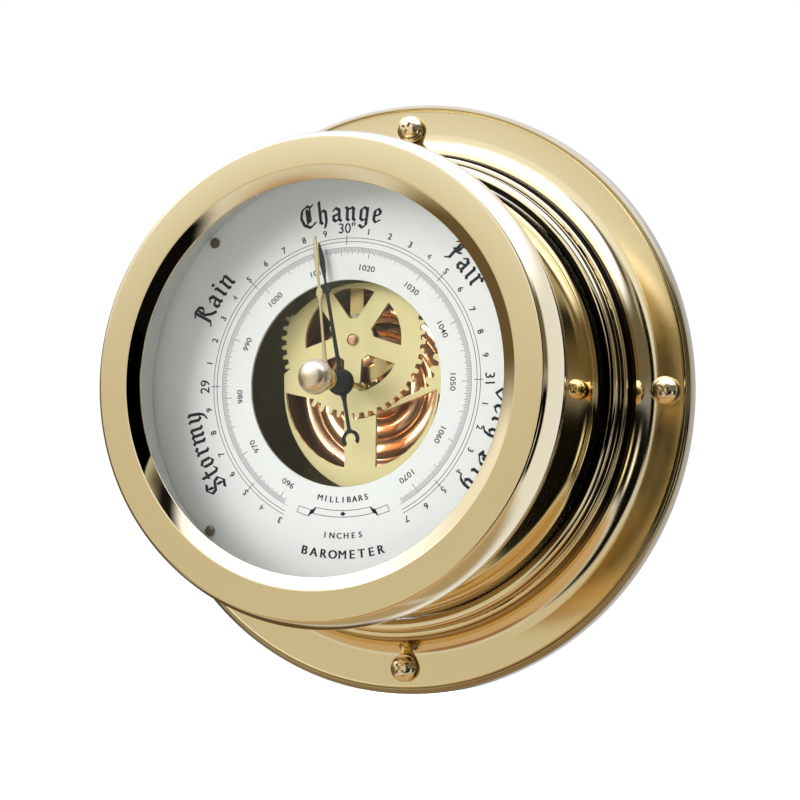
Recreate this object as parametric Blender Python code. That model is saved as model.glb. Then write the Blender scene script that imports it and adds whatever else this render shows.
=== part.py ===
"""A flanged brass ship barometer with an open dial, modelled piece by piece.

The wall plane is y = 0 and the instrument faces -Y, with +Z up. The origin is the centre of the
case's back face. Depth means the distance forward of the wall, so a point at depth d has y = -d.
Angles on the dial face are counted anticlockwise from +X, as a viewer in front sees them.
"""

import math

import bmesh
import bpy
from mathutils import Matrix, Vector

MM = 0.001
GAP = 0.3 * MM  # clearance between pieces that touch on the real instrument

# Case
FLANGE_RADIUS = 76.0 * MM
FLANGE_SCREW_CIRCLE = 69.4 * MM
FLANGE_SCREWS = {"right": 0.0, "top": 90.0, "left": 180.0, "bottom": 270.0}
DRUM_RADIUS = 57.0 * MM
DRUM_WALL = 1.2 * MM
DRUM_FRONT = 55.0 * MM
BEZEL_RADIUS = 60.7 * MM
BEZEL_REAR = 47.8 * MM
BEZEL_FRONT = 61.9 * MM
SIGHT_RADIUS = 48.1 * MM  # inner edge of the bezel's lip
GLASS_RADIUS = 55.0 * MM
GLASS_REAR = 57.8 * MM
GLASS_FRONT = 59.7 * MM
ADJUSTER_Z = -14.0 * MM  # height of the adjusting screw, reached through the case back

# Dial
DIAL_RADIUS = 53.4 * MM
DIAL_FRONT = 44.5 * MM
DIAL_THICKNESS = 0.8 * MM
DIAL_OPENING = 25.5 * MM
DIAL_SCREW_CIRCLE = 51.0 * MM
DIAL_SCREW_ANGLES = (45.0, 135.0, 225.0, 315.0)

# Movement
MOVEMENT_FLOOR = 16.2 * MM  # rear face of the movement's base plate
MOVEMENT_PLATE = 1.2 * MM
MOVEMENT_RADIUS = 34.5 * MM
BRIDGE_REAR = 33.8 * MM
BRIDGE_FRONT = 34.8 * MM
BRIDGE_RADIUS = 26.0 * MM
PILLAR_CIRCLE = 31.0 * MM
PILLAR_ANGLES = (10.0, 62.0, 270.0)
POST_CIRCLE = 31.3 * MM
POST_ANGLES = (0.0, 100.0, 260.0)
WHEEL = Vector((-2.3 * MM, 11.7 * MM))  # centre of the wheel figure cut in the bridge plate
WHEEL_TIP = 19.6 * MM
WHEEL_ROOT = 18.3 * MM
WHEEL_TEETH = 48
SLOT_START = 30.0  # degrees about the wheel's centre, where the toothed slot begins
SLOT_FRAME_RADIUS = 26.0 * MM
STRAP_HALF = 4.2 * MM  # half width of the bridge plate's lower strap
CHEEK_OFFSET = 6.2 * MM  # the lower outline is two arcs whose centres are this far either side
CHEEK_RADIUS = 27.2 * MM
RIM_WIDTH = 1.3 * MM
BAR_TOP = -7.0 * MM  # where the sloping edge above the lower windows meets the strap
BAR_SLOPE = 0.37
LOWER_WINDOW_RADIUS = 20.6 * MM
CAPSULE_RADIUS = 25.2 * MM
CAPSULE_RIM = 22.0 * MM
CAPSULE_TOP = 24.6 * MM
CAPSULE_BOTTOM = 19.6 * MM
SHEET = 0.4 * MM

# Lever train
SECTOR_PIVOT = Vector((-2.0 * MM, 17.5 * MM))
SECTOR_REAR = 31.4 * MM
SECTOR_FRONT = 32.2 * MM
PINION_TEETH = 8
SECTOR_RATIO = 17.5  # pinion turns for one turn of the sector
TAIL_ARM = 2.0 * MM  # from the sector pivot to the link's pin
ROCKER_X = -9.0 * MM
ROCKER_DEPTH = 26.6 * MM
LINK_DEPTH = 30.6 * MM
LINK_Z = SECTOR_PIVOT.y - TAIL_ARM

# Hands
HAND_ANGLE = math.radians(10.8)  # anticlockwise of twelve o'clock, a reading of 29.88 inches
HAND_DEPTH = 46.2 * MM
SET_HAND_ANGLE = math.radians(6.0)
SET_HAND_DEPTH = 55.0 * MM

# Facets round a full turn
LARGE = 48
MEDIUM = 32
SMALL = 14
TINY = 10

FINISHES = {
    "polished_brass": ((0.80, 0.64, 0.33), 1.0, 0.12),
    "brass": ((0.74, 0.58, 0.28), 1.0, 0.30),
    "gilt_plate": ((0.88, 0.80, 0.50), 1.0, 0.38),
    "blackened": ((0.06, 0.055, 0.04), 0.0, 0.60),
    "copper": ((0.80, 0.47, 0.32), 1.0, 0.25),
    "steel": ((0.55, 0.55, 0.56), 1.0, 0.30),
    "dial_white": ((0.86, 0.86, 0.84), 0.0, 0.45),
    "black_enamel": ((0.02, 0.02, 0.02), 0.0, 0.40),
    "clear_glass": ((0.95, 0.97, 0.97), 0.0, 0.02),
    "rubber": ((0.03, 0.03, 0.03), 0.0, 0.80),
}


# ---------------------------------------------------------------- scene and finish helpers


def clear_scene():
    for obj in list(bpy.data.objects):
        bpy.data.objects.remove(obj, do_unlink=True)


def finish(name):
    """The named finish as a Principled material, made once."""
    found = bpy.data.materials.get(name)
    if found:
        return found
    colour, metallic, roughness = FINISHES[name]
    made = bpy.data.materials.new(name)
    made.use_nodes = True
    shader = made.node_tree.nodes["Principled BSDF"]
    shader.inputs["Base Color"].default_value = (*colour, 1.0)
    shader.inputs["Metallic"].default_value = metallic
    shader.inputs["Roughness"].default_value = roughness
    if name == "clear_glass":
        shader.inputs["Transmission Weight"].default_value = 1.0
    return made


def place(x, z, depth):
    return Vector((x, -depth, z))


def add_piece(name, bm, finish_name, pivot=(0.0, 0.0, 0.0)):
    """Links the solid as an object whose origin is at pivot, with its round faces smooth."""
    bmesh.ops.recalc_face_normals(bm, faces=bm.faces)
    pivot = Vector(pivot)
    bmesh.ops.translate(bm, verts=bm.verts, vec=-pivot)
    mesh = bpy.data.meshes.new(name)
    bm.to_mesh(mesh)
    bm.free()
    mesh.shade_smooth()
    mesh.set_sharp_from_angle(angle=math.radians(32.0))
    mesh.materials.append(finish(finish_name))
    obj = bpy.data.objects.new(name, mesh)
    obj.location = pivot
    bpy.context.scene.collection.objects.link(obj)
    return obj


# ---------------------------------------------------------------- shape helpers


def arc(centre, radius, start, end, steps):
    """Points on an arc from start to end, in degrees, both ends included."""
    points = []
    for i in range(steps + 1):
        a = math.radians(start + (end - start) * i / steps)
        points.append((centre[0] + radius * math.cos(a), centre[1] + radius * math.sin(a)))
    return points


def circle(centre, radius, steps):
    return arc(centre, radius, 0.0, 360.0, steps)[:-1]


def polar(radius, degrees):
    a = math.radians(degrees)
    return radius * math.cos(a), radius * math.sin(a)


def turned_mesh(profile, segments, centre=(0.0, 0.0)):
    """A closed (radius, depth) profile in millimetres, spun about the depth axis through centre."""
    bm = bmesh.new()
    rings = []
    for radius, depth in profile:
        if radius == 0.0:
            rings.append([bm.verts.new(place(centre[0], centre[1], depth * MM))])
            continue
        loop = []
        for i in range(segments):
            x, z = polar(radius * MM, 360.0 * i / segments)
            loop.append(bm.verts.new(place(centre[0] + x, centre[1] + z, depth * MM)))
        rings.append(loop)
    for here, there in zip(rings, rings[1:] + rings[:1]):
        if len(here) == 1 and len(there) == 1:
            continue
        for i in range(segments):
            j = (i + 1) % segments
            corners = [here[i % len(here)], here[j % len(here)]]
            corners += [there[j % len(there)], there[i % len(there)]]
            face = []
            for corner in corners:
                if corner not in face:
                    face.append(corner)
            bm.faces.new(face)
    return bm


def turned(name, profile, finish_name, segments=SMALL, centre=(0.0, 0.0), pivot=(0.0, 0.0, 0.0)):
    return add_piece(name, turned_mesh(profile, segments, centre), finish_name, pivot)


def plate_mesh(outline, holes, low, high, to_world):
    """A flat plate: the outline with its holes, filled at low and extruded to high."""
    bm = bmesh.new()
    edges = []
    for loop in [outline] + list(holes):
        verts = [bm.verts.new(to_world(u, v, low)) for u, v in loop]
        for a, b in zip(verts, verts[1:] + verts[:1]):
            edges.append(bm.edges.new((a, b)))
    bmesh.ops.triangle_fill(bm, use_beauty=True, use_dissolve=False, edges=edges)
    grown = bmesh.ops.extrude_face_region(bm, geom=list(bm.faces))
    moved = [item for item in grown["geom"] if isinstance(item, bmesh.types.BMVert)]
    shift = to_world(0.0, 0.0, high) - to_world(0.0, 0.0, low)
    bmesh.ops.translate(bm, verts=moved, vec=shift)
    return bm


def face_plate(name, outline, holes, rear, front, finish_name, pivot=(0.0, 0.0, 0.0)):
    """A plate parallel to the dial. The outline is (x, z)."""
    return add_piece(name, plate_mesh(outline, holes, rear, front, place), finish_name, pivot)


def side_plate(name, outline, holes, z_middle, thickness, finish_name, pivot=(0.0, 0.0, 0.0)):
    """A plate that lies flat across the shaft, in the plane of x and depth."""

    def to_world(x, depth, z):
        return place(x, z, depth)

    low = z_middle - thickness / 2
    bm = plate_mesh(outline, holes, low, low + thickness, to_world)
    return add_piece(name, bm, finish_name, pivot)


def upright_rod(name, x, depth, z_low, z_high, radius, finish_name, pivot):
    bm = bmesh.new()
    middle = Matrix.Translation(place(x, (z_low + z_high) / 2, depth))
    bmesh.ops.create_cone(
        bm,
        cap_ends=True,
        segments=TINY,
        radius1=radius,
        radius2=radius,
        depth=z_high - z_low,
        matrix=middle,
    )
    return add_piece(name, bm, finish_name, pivot)


def coil_mesh(path, half_wide, half_deep):
    """A rectangular strip swept along a path of (radius, degrees, depth)."""
    bm = bmesh.new()
    sections = []
    for radius, degrees, depth in path:
        section = []
        for side, rise in ((-1, -1), (1, -1), (1, 1), (-1, 1)):
            x, z = polar(radius + side * half_wide, degrees)
            section.append(bm.verts.new(place(x, z, depth + rise * half_deep)))
        sections.append(section)
    for here, there in zip(sections, sections[1:]):
        for i in range(4):
            j = (i + 1) % 4
            bm.faces.new((here[i], here[j], there[j], there[i]))
    bm.faces.new(sections[0])
    bm.faces.new(list(reversed(sections[-1])))
    return bm


# ---------------------------------------------------------------- case


def make_mounting_flange():
    bore = (DRUM_RADIUS + GAP) / MM
    rim = FLANGE_RADIUS / MM
    profile = [
        (bore, 0.0),
        (rim - 0.6, 0.0),
        (rim, 0.6),
        (rim, 3.7),
        (rim - 0.4, 4.6),
        (rim - 1.1, 5.0),
        (rim - 1.8, 4.7),
        (66.9, 4.7),
        (64.4, 5.1),
        (62.9, 6.6),
        (62.4, 9.2),
        (61.7, 9.5),
        (61.6, 11.2),
        (61.0, 11.8),
        (60.2, 11.9),
        (60.0, 14.4),
        (59.3, 15.2),
        (bore, 15.5),
    ]
    flange = turned("mounting_flange", profile, "polished_brass", LARGE)
    centres = [polar(FLANGE_SCREW_CIRCLE, degrees) for degrees in FLANGE_SCREWS.values()]
    drill(flange, centres, -1.0 * MM, 8.0 * MM, 2.6 * MM)


def drill(obj, centres, rear, front, radius):
    """Cuts round holes through obj along the depth axis, one at each of the centres."""
    bm = bmesh.new()
    for centre in centres:
        points = circle(centre, radius, SMALL)
        low = [bm.verts.new(place(x, z, rear)) for x, z in points]
        high = [bm.verts.new(place(x, z, front)) for x, z in points]
        bm.faces.new(low)
        bm.faces.new(high)
        for i in range(SMALL):
            bm.faces.new((low[i - 1], low[i], high[i], high[i - 1]))
    bmesh.ops.recalc_face_normals(bm, faces=bm.faces)
    mesh = bpy.data.meshes.new("drill")
    bm.to_mesh(mesh)
    bm.free()
    cutter = bpy.data.objects.new("drill_" + obj.name, mesh)
    cutter.hide_render = True
    cutter.display_type = "WIRE"
    bpy.context.scene.collection.objects.link(cutter)
    cut = obj.modifiers.new("holes", "BOOLEAN")
    cut.operation = "DIFFERENCE"
    cut.solver = "MANIFOLD"
    cut.object = cutter


def make_flange_screws():
    """Round-headed screws that hold the flange to the wall, ending flush with its back."""
    profile = [
        (0.0, 0.2),
        (2.2, 0.2),
        (2.2, 5.5),
        (3.5, 5.5),
        (3.4, 6.2),
        (2.6, 7.2),
        (1.4, 7.8),
        (0.0, 8.0),
    ]
    for label, degrees in FLANGE_SCREWS.items():
        centre = polar(FLANGE_SCREW_CIRCLE, degrees)
        turned("flange_screw_" + label, profile, "polished_brass", SMALL, centre)


def make_case_drum():
    outer = DRUM_RADIUS / MM
    inner = (DRUM_RADIUS - DRUM_WALL) / MM
    front = DRUM_FRONT / MM
    back = DRUM_WALL / MM
    profile = [(0.0, 0.0), (outer, 0.0), (outer, front), (inner, front), (inner, back), (0.0, back)]
    drum = turned("case_drum", profile, "polished_brass", LARGE)
    drill(drum, [(0.0, ADJUSTER_Z)], -2.0 * MM, 3.0 * MM, 3.4 * MM)


def make_bezel():
    bore = (DRUM_RADIUS + GAP) / MM
    band = BEZEL_RADIUS / MM
    rear = BEZEL_REAR / MM
    front = BEZEL_FRONT / MM
    seat = (GLASS_RADIUS + GAP) / MM
    lip = SIGHT_RADIUS / MM
    lip_rear = (GLASS_FRONT + GAP) / MM
    profile = [
        (bore, rear),
        (band - 1.3, rear),
        (band - 0.4, rear + 2.6),
        (band, rear + 6.6),
        (band - 0.4, rear + 10.6),
        (band - 1.3, front - 0.8),
        (band - 2.2, front),
        (lip + 3.3, front),
        (lip, lip_rear + 0.5),
        (lip, lip_rear),
        (seat, lip_rear),
        (seat, DRUM_FRONT / MM + 0.5),
        (bore, DRUM_FRONT / MM + 0.3),
    ]
    turned("bezel", profile, "polished_brass", LARGE)


def ring(name, inner, outer, rear, front, finish_name, segments=LARGE):
    profile = [(outer, rear), (outer, front), (inner, front), (inner, rear)]
    return turned(name, profile, finish_name, segments)


def make_glazing():
    ring("glass", 1.3, GLASS_RADIUS / MM, GLASS_REAR / MM, GLASS_FRONT / MM, "clear_glass")
    ring("glass_gasket", 52.9, 54.8, 56.7, 57.5, "rubber")
    ring("spacer_ring", 52.8, 54.4, 44.8, 56.4, "dial_white")


# ---------------------------------------------------------------- dial


def make_dial():
    rear = DIAL_FRONT - DIAL_THICKNESS
    holes = [list(reversed(circle((0.0, 0.0), DIAL_OPENING, MEDIUM)))]
    for degrees in DIAL_SCREW_ANGLES:
        holes.append(circle(polar(DIAL_SCREW_CIRCLE, degrees), 1.1 * MM, TINY))
    outline = circle((0.0, 0.0), DIAL_RADIUS, LARGE)
    face_plate("dial", outline, holes, rear, DIAL_FRONT, "dial_white")


def make_dial_ring():
    """The ring inside the drum that carries the dial."""
    outline = circle((0.0, 0.0), DRUM_RADIUS - DRUM_WALL - GAP, LARGE)
    holes = [circle((0.0, 0.0), 47.5 * MM, LARGE)]
    for degrees in DIAL_SCREW_ANGLES:
        holes.append(circle(polar(DIAL_SCREW_CIRCLE, degrees), 1.1 * MM, TINY))
    face_plate("dial_ring", outline, holes, 41.4 * MM, 43.4 * MM, "brass")


def make_dial_screws():
    profile = [
        (0.0, 41.8),
        (0.8, 41.8),
        (0.8, 44.8),
        (1.35, 44.8),
        (1.3, 45.2),
        (0.7, 45.6),
        (0.0, 45.7),
    ]
    for i, degrees in enumerate(DIAL_SCREW_ANGLES, start=1):
        centre = polar(DIAL_SCREW_CIRCLE, degrees)
        turned(f"dial_screw_{i}", profile, "brass", TINY, centre)


# ---------------------------------------------------------------- movement frame


def make_base_plate():
    """A round plate with its left side cut off straight."""
    outline = arc((0.0, 0.0), MOVEMENT_RADIUS, -132.0, 132.0, MEDIUM)
    holes = [circle((0.0, 0.0), 2.6 * MM, SMALL), circle((0.0, ADJUSTER_Z), 1.8 * MM, TINY)]
    holes.append(circle((0.0, 11.0 * MM), 1.2 * MM, TINY))
    for degrees in POST_ANGLES:
        holes.append(circle(polar(POST_CIRCLE, degrees), 1.5 * MM, TINY))
    front = MOVEMENT_FLOOR + MOVEMENT_PLATE
    face_plate("movement_base", outline, holes, MOVEMENT_FLOOR, front, "blackened")


def make_base_posts():
    """Three posts stand the movement off the case back, each with its screw."""
    post = [(0.0, 1.5), (2.5, 1.5), (2.5, 15.9), (1.5, 15.9), (1.5, 12.0), (0.0, 12.0)]
    screw = [(0.0, 12.6), (1.2, 12.6), (1.2, 17.7), (2.3, 17.7), (2.2, 18.5), (0.0, 18.8)]
    for i, degrees in enumerate(POST_ANGLES, start=1):
        centre = polar(POST_CIRCLE, degrees)
        turned(f"base_post_{i}", post, "brass", TINY, centre)
        turned(f"base_screw_{i}", screw, "steel", TINY, centre)


def make_bridge_pillars():
    """Three pillars carry the bridge plate in front of the capsule, each with its screw."""
    pillar = [(0.0, 17.7), (1.9, 17.7), (1.9, 33.5), (1.2, 33.5), (1.2, 30.5), (0.0, 30.5)]
    screw = [(0.0, 31.0), (0.9, 31.0), (0.9, 35.1), (1.8, 35.1), (1.7, 35.8), (0.0, 36.1)]
    for i, degrees in enumerate(PILLAR_ANGLES, start=1):
        centre = polar(PILLAR_CIRCLE, degrees)
        turned(f"bridge_pillar_{i}", pillar, "brass", TINY, centre)
        turned(f"bridge_screw_{i}", screw, "steel", TINY, centre)


def ear(degrees):
    """A rounded tab reaching out from the bridge plate to a pillar, anticlockwise."""
    tip = polar(PILLAR_CIRCLE, degrees)
    return arc(tip, 2.6 * MM, degrees - 90.0, degrees + 90.0, 6)


def wheel_point(radius, degrees):
    x, z = polar(radius, degrees)
    return WHEEL.x + x, WHEEL.y + z


def teeth(start, end, root, tip):
    """Trapezoid gear teeth about the wheel's centre, from start to end degrees."""
    pitch = 360.0 / WHEEL_TEETH
    count = round(abs(end - start) / pitch)
    step = (end - start) / count
    points = []
    for i in range(count):
        for share, radius in ((0.0, root), (0.28, root), (0.40, tip), (0.72, tip), (0.84, root)):
            points.append(wheel_point(radius, start + step * (i + share)))
    return points


def bar_height(x):
    """Height of the sloping top edge of the two lower windows, which meet at the strap."""
    return BAR_TOP + BAR_SLOPE * (abs(x) - STRAP_HALF)


def radius_to_bar(degrees, clearance):
    """Distance from the wheel's centre, along a direction, to just above the sloping edge."""
    low, high = 5.0 * MM, 60.0 * MM
    for _ in range(40):
        middle = (low + high) / 2
        x, z = wheel_point(middle, degrees)
        if z > bar_height(x) + clearance:
            low = middle
        else:
            high = middle
    return low


def bridge_outline():
    lower_right = arc((-CHEEK_OFFSET, 0.0), CHEEK_RADIUS, -66.0, -5.0, 9)
    lower_left = arc((CHEEK_OFFSET, 0.0), CHEEK_RADIUS, 185.0, 246.0, 9)
    outline = ear(PILLAR_ANGLES[2]) + lower_right
    outline += arc((0.0, 0.0), BRIDGE_RADIUS, 0.0, 3.0, 1) + ear(PILLAR_ANGLES[0])
    outline += arc(WHEEL, SLOT_FRAME_RADIUS, -8.0, 31.0, 5) + ear(PILLAR_ANGLES[1])
    outline += arc((0.0, 0.0), BRIDGE_RADIUS, 71.0, 136.0, 9)
    outline += teeth(157.5, 202.5, WHEEL_ROOT, WHEEL_TIP)
    outline += [(-21.1 * MM, 3.6 * MM)] + lower_left
    return outline


def gear_slot():
    """The curved slot between the wheel figure's teeth and the teeth that face it."""
    pitch = 360.0 / WHEEL_TEETH
    inner = teeth(-90.0, SLOT_START, WHEEL_ROOT, WHEEL_TIP)
    outer = []
    degrees = SLOT_START
    while degrees > -88.0:
        for share, radius in ((0.0, 24.0), (0.3, 24.0), (0.45, 22.2), (0.8, 22.2)):
            here = degrees - pitch * share
            limit = radius_to_bar(here, RIM_WIDTH)
            limit = max(limit, WHEEL_TIP + 0.25 * MM)
            outer.append(wheel_point(min(radius * MM, limit), here))
        degrees -= pitch
    return inner + outer


def lower_window(side):
    """One of the two windows beside the strap. side is -1 for left and 1 for right."""
    strap = side * STRAP_HALF
    radius = LOWER_WINDOW_RADIUS
    bottom = math.degrees(math.asin(STRAP_HALF / radius))
    points = [(side * -x, z) for x, z in arc((0.0, 0.0), radius, 183.0, 270.0 - bottom, 9)]
    if side < 0:
        points += teeth(-97.0, -127.0, WHEEL_ROOT - 0.4 * MM, WHEEL_TIP)
    else:
        points.append((strap, bar_height(strap)))
    return points


def wheel_window(middle):
    """One of the wheel figure's five openings, between spokes with parallel sides."""
    inner, outer, spoke = 5.5 * MM, 13.1 * MM, 2.35 * MM
    near = 36.0 - math.degrees(math.asin(spoke / inner))
    far = 36.0 - math.degrees(math.asin(spoke / outer))
    points = arc(WHEEL, outer, middle - far, middle + far, 6)
    return points + arc(WHEEL, inner, middle + near, middle - near, 2)


def make_bridge_plate():
    holes = [gear_slot(), lower_window(-1), lower_window(1)]
    for i in range(5):
        holes.append(wheel_window(90.0 + 72.0 * i))
    holes.append(circle((0.0, 0.0), 1.1 * MM, TINY))
    for degrees in PILLAR_ANGLES:
        holes.append(circle(polar(PILLAR_CIRCLE, degrees), 1.2 * MM, TINY))
    face_plate("bridge_plate", bridge_outline(), holes, BRIDGE_REAR, BRIDGE_FRONT, "gilt_plate")
    rivet = [(0.0, 35.1), (1.5, 35.1), (1.3, 35.5), (0.0, 35.7)]
    turned("wheel_rivet", rivet, "copper", TINY, WHEEL)


# ---------------------------------------------------------------- capsule and its adjustment


def diaphragm(name, rise, ridges):
    """A pressed copper diaphragm. rise is 1 for the front one and -1 for the back one."""
    rim = CAPSULE_RADIUS / MM
    crown = (CAPSULE_TOP if rise > 0 else CAPSULE_BOTTOM) / MM
    seam = CAPSULE_RIM / MM + rise * GAP / MM / 2
    sheet = rise * SHEET / MM
    face = [(3.0, crown), (5.0, crown - rise * 0.5)]
    for i in range(ridges):
        radius = 7.0 + 15.4 * i / ridges
        swing = 0.45 if i % 2 else -0.45
        face.append((radius, crown - rise * 0.7 + rise * swing))
    face += [(22.4, crown - rise * 1.1), (22.9, seam + sheet), (rim, seam + sheet)]
    under = [(radius, depth - sheet) for radius, depth in reversed(face)]
    profile = [(0.0, crown)] + face + under + [(0.0, crown - sheet)]
    turned(name, profile, "copper", MEDIUM)


def make_capsule():
    diaphragm("capsule_front_diaphragm", 1, 8)
    diaphragm("capsule_rear_diaphragm", -1, 2)
    path = []
    turns, steps = 3, 14
    low, high = CAPSULE_BOTTOM + 1.2 * MM, CAPSULE_TOP - 1.2 * MM
    for i in range(turns * steps + 1):
        share = i / (turns * steps)
        path.append(((3.5 + 1.5 * share) * MM, 360.0 * turns * share, low + (high - low) * share))
    add_piece("capsule_spring", coil_mesh(path, 0.3 * MM, 0.2 * MM), "steel")
    stud = [(0.0, 16.8), (1.4, 16.8), (1.4, 19.0), (2.6, 19.0), (2.6, 19.3), (0.0, 19.3)]
    turned("capsule_stud", stud, "brass", SMALL)
    post = [(0.0, 24.9), (2.2, 24.9), (2.2, 25.3), (0.9, 25.5), (0.6, 26.1), (0.0, 26.1)]
    turned("capsule_post", post, "brass", TINY)


def make_adjustment():
    """A sprung bar carries the capsule, and the adjusting screw lifts its free end."""
    end = ADJUSTER_Z - 3.0 * MM
    outline = arc((0.0, 11.0 * MM), 3.0 * MM, 0.0, 180.0, 6)
    outline += [(-3.0 * MM, end), (3.0 * MM, end)]
    holes = [circle((0.0, 11.0 * MM), 1.2 * MM, TINY), circle((0.0, 0.0), 1.7 * MM, TINY)]
    face_plate("regulating_bar", outline, holes, 17.7 * MM, 18.6 * MM, "steel")
    clamp = [(0.0, 13.5), (0.9, 13.5), (0.9, 18.9), (1.9, 18.9), (1.8, 19.5), (0.0, 19.7)]
    turned("bar_screw", clamp, "steel", TINY, (0.0, 11.0 * MM))
    screw = [
        (0.0, 6.2),
        (0.5, 6.2),
        (0.5, 5.2),
        (2.6, 5.2),
        (2.6, 7.6),
        (1.5, 7.8),
        (1.5, 16.9),
        (0.6, 17.4),
        (0.0, 17.4),
    ]
    turned("adjusting_screw", screw, "brass", TINY, (0.0, ADJUSTER_Z), place(0.0, ADJUSTER_Z, 0.0))


# ---------------------------------------------------------------- lever train


def make_rocker():
    """The rocking shaft turns the capsule's small rise into a sideways push."""
    pivot = place(ROCKER_X, 0.0, ROCKER_DEPTH)
    centre = (ROCKER_X, ROCKER_DEPTH)
    upright_rod("rocking_shaft", *centre, -2.8 * MM, 19.6 * MM, 0.75 * MM, "brass", pivot)
    lever = arc(centre, 1.9 * MM, 15.0, 345.0, 10)
    lever += [(1.2 * MM, 26.3 * MM), (1.2 * MM, 27.1 * MM)]
    eye = circle(centre, 1.05 * MM, TINY)
    side_plate("capsule_lever", lever, [eye], 0.0, 1.0 * MM, "brass", pivot)
    top = LINK_DEPTH + 0.7 * MM
    arm = arc(centre, 1.9 * MM, 110.0, 430.0, 10)
    arm += [(ROCKER_X + 0.4 * MM, top), (ROCKER_X - 0.4 * MM, top)]
    side_plate("drive_arm", arm, [eye], LINK_Z, 1.0 * MM, "brass", pivot)


def make_shaft_brackets():
    """Two lugs under the bridge plate hold the rocking shaft's ends."""
    centre = (ROCKER_X, ROCKER_DEPTH)
    foot = BRIDGE_REAR - GAP
    half = 1.6 * MM
    outline = arc(centre, half, 180.0, 360.0, 6)
    outline += [(ROCKER_X + half, foot), (ROCKER_X - half, foot)]
    for label, z in (("lower", -1.9 * MM), ("upper", 18.6 * MM)):
        hole = circle(centre, 0.95 * MM, TINY)
        side_plate("shaft_bracket_" + label, outline, [hole], z, 1.0 * MM, "brass")


def make_link():
    """The link joins the drive arm to the sector's pin."""
    left, right = (ROCKER_X, LINK_Z), (SECTOR_PIVOT.x, LINK_Z)
    outline = arc(right, 1.5 * MM, -150.0, 150.0, 8) + arc(left, 1.6 * MM, 30.0, 330.0, 8)
    holes = [circle(left, 0.95 * MM, TINY), circle(right, 0.85 * MM, TINY)]
    rear = LINK_DEPTH - 0.3 * MM
    face_plate("link", outline, holes, rear, rear + 0.5 * MM, "brass")


def sector_point(radius, degrees):
    x, z = polar(radius, degrees)
    return SECTOR_PIVOT.x + x, SECTOR_PIVOT.y + z


def make_sector():
    """The toothed sector. A gap between its teeth faces the hand arbor's centre at rest."""
    pivot = place(SECTOR_PIVOT.x, SECTOR_PIVOT.y, SECTOR_REAR)
    pitch = 360.0 / (PINION_TEETH * SECTOR_RATIO)
    facing = math.degrees(math.atan2(-SECTOR_PIVOT.y, -SECTOR_PIVOT.x))
    root, tip = 16.15 * MM, 16.9 * MM
    outline = arc(SECTOR_PIVOT, 2.2 * MM, 20.0, 160.0, 5)
    for i in range(-5, 5):
        middle = facing + (i + 0.5) * pitch
        for share, radius in ((-0.22, root), (-0.12, tip), (0.12, tip), (0.22, root)):
            outline.append(sector_point(radius, middle + share * pitch))
    outline += arc((6.4 * MM, 6.2 * MM), 1.7 * MM, -60.0, 60.0, 4)
    window = [(-1.4 * MM, 5.0 * MM), (-1.6 * MM, 11.0 * MM), (2.6 * MM, 5.4 * MM)]
    holes = [window, circle((6.4 * MM, 6.2 * MM), 0.8 * MM, TINY)]
    holes.append(circle(SECTOR_PIVOT, 1.05 * MM, TINY))
    face_plate("sector", outline, holes, SECTOR_REAR, SECTOR_FRONT, "brass", pivot)
    pin = [(0.0, 29.9), (0.45, 29.9), (0.45, 31.1), (0.0, 31.1)]
    turned("sector_pin", pin, "steel", TINY, (SECTOR_PIVOT.x, LINK_Z), pivot)


def make_sector_cock():
    """The strip behind the wheel figure's top opening, with the stud that the sector turns on."""
    x = SECTOR_PIVOT.x
    half = 1.8 * MM
    outline = arc(SECTOR_PIVOT, half, 180.0, 360.0, 6)
    outline += [(x + half, 25.6 * MM), (x - half, 25.6 * MM)]
    hole = circle(SECTOR_PIVOT, 0.9 * MM, TINY)
    face_plate("sector_cock", outline, [hole], 32.6 * MM, 33.4 * MM, "brass")
    stud = [(0.0, 30.9), (1.3, 30.9), (1.3, 31.15), (0.7, 31.15), (0.7, 33.7), (0.0, 33.7)]
    turned("sector_stud", stud, "steel", TINY, SECTOR_PIVOT)


def make_arbor_cock():
    """The rear bearing of the hand arbor, hung from the bridge plate on two posts."""
    outline = arc((5.7 * MM, -2.8 * MM), 1.6 * MM, -90.0, 60.0, 4)
    outline += arc((0.0, 0.0), 2.2 * MM, 60.0, 120.0, 3)
    outline += arc((-5.7 * MM, -2.8 * MM), 1.6 * MM, 120.0, 270.0, 4)
    holes = [circle((0.0, 0.0), 0.65 * MM, TINY)]
    face_plate("arbor_cock", outline, holes, 29.6 * MM, 30.4 * MM, "brass")
    post = [(0.0, 30.7), (1.2, 30.7), (1.2, 33.5), (0.0, 33.5)]
    for label, x in (("left", -5.7 * MM), ("right", 5.7 * MM)):
        turned("cock_post_" + label, post, "brass", TINY, (x, -2.8 * MM))


def leaf_section(depth):
    """One cross-section of the pinion, with a tooth facing the sector's pivot."""
    facing = math.degrees(math.atan2(SECTOR_PIVOT.y, SECTOR_PIVOT.x))
    pitch = 360.0 / PINION_TEETH
    section = []
    for i in range(PINION_TEETH):
        for share, radius in ((-0.3, 0.62), (-0.13, 1.2), (0.13, 1.2), (0.3, 0.62)):
            x, z = polar(radius * MM, facing + (i + share) * pitch)
            section.append(place(x, z, depth))
    return section


def round_section(radius, depth):
    """A round cross-section whose points line up with the pinion's."""
    facing = math.degrees(math.atan2(SECTOR_PIVOT.y, SECTOR_PIVOT.x))
    pitch = 360.0 / PINION_TEETH
    section = []
    for i in range(PINION_TEETH):
        for share in (-0.3, -0.13, 0.13, 0.3):
            x, z = polar(radius, facing + (i + share) * pitch)
            section.append(place(x, z, depth))
    return section


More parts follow.
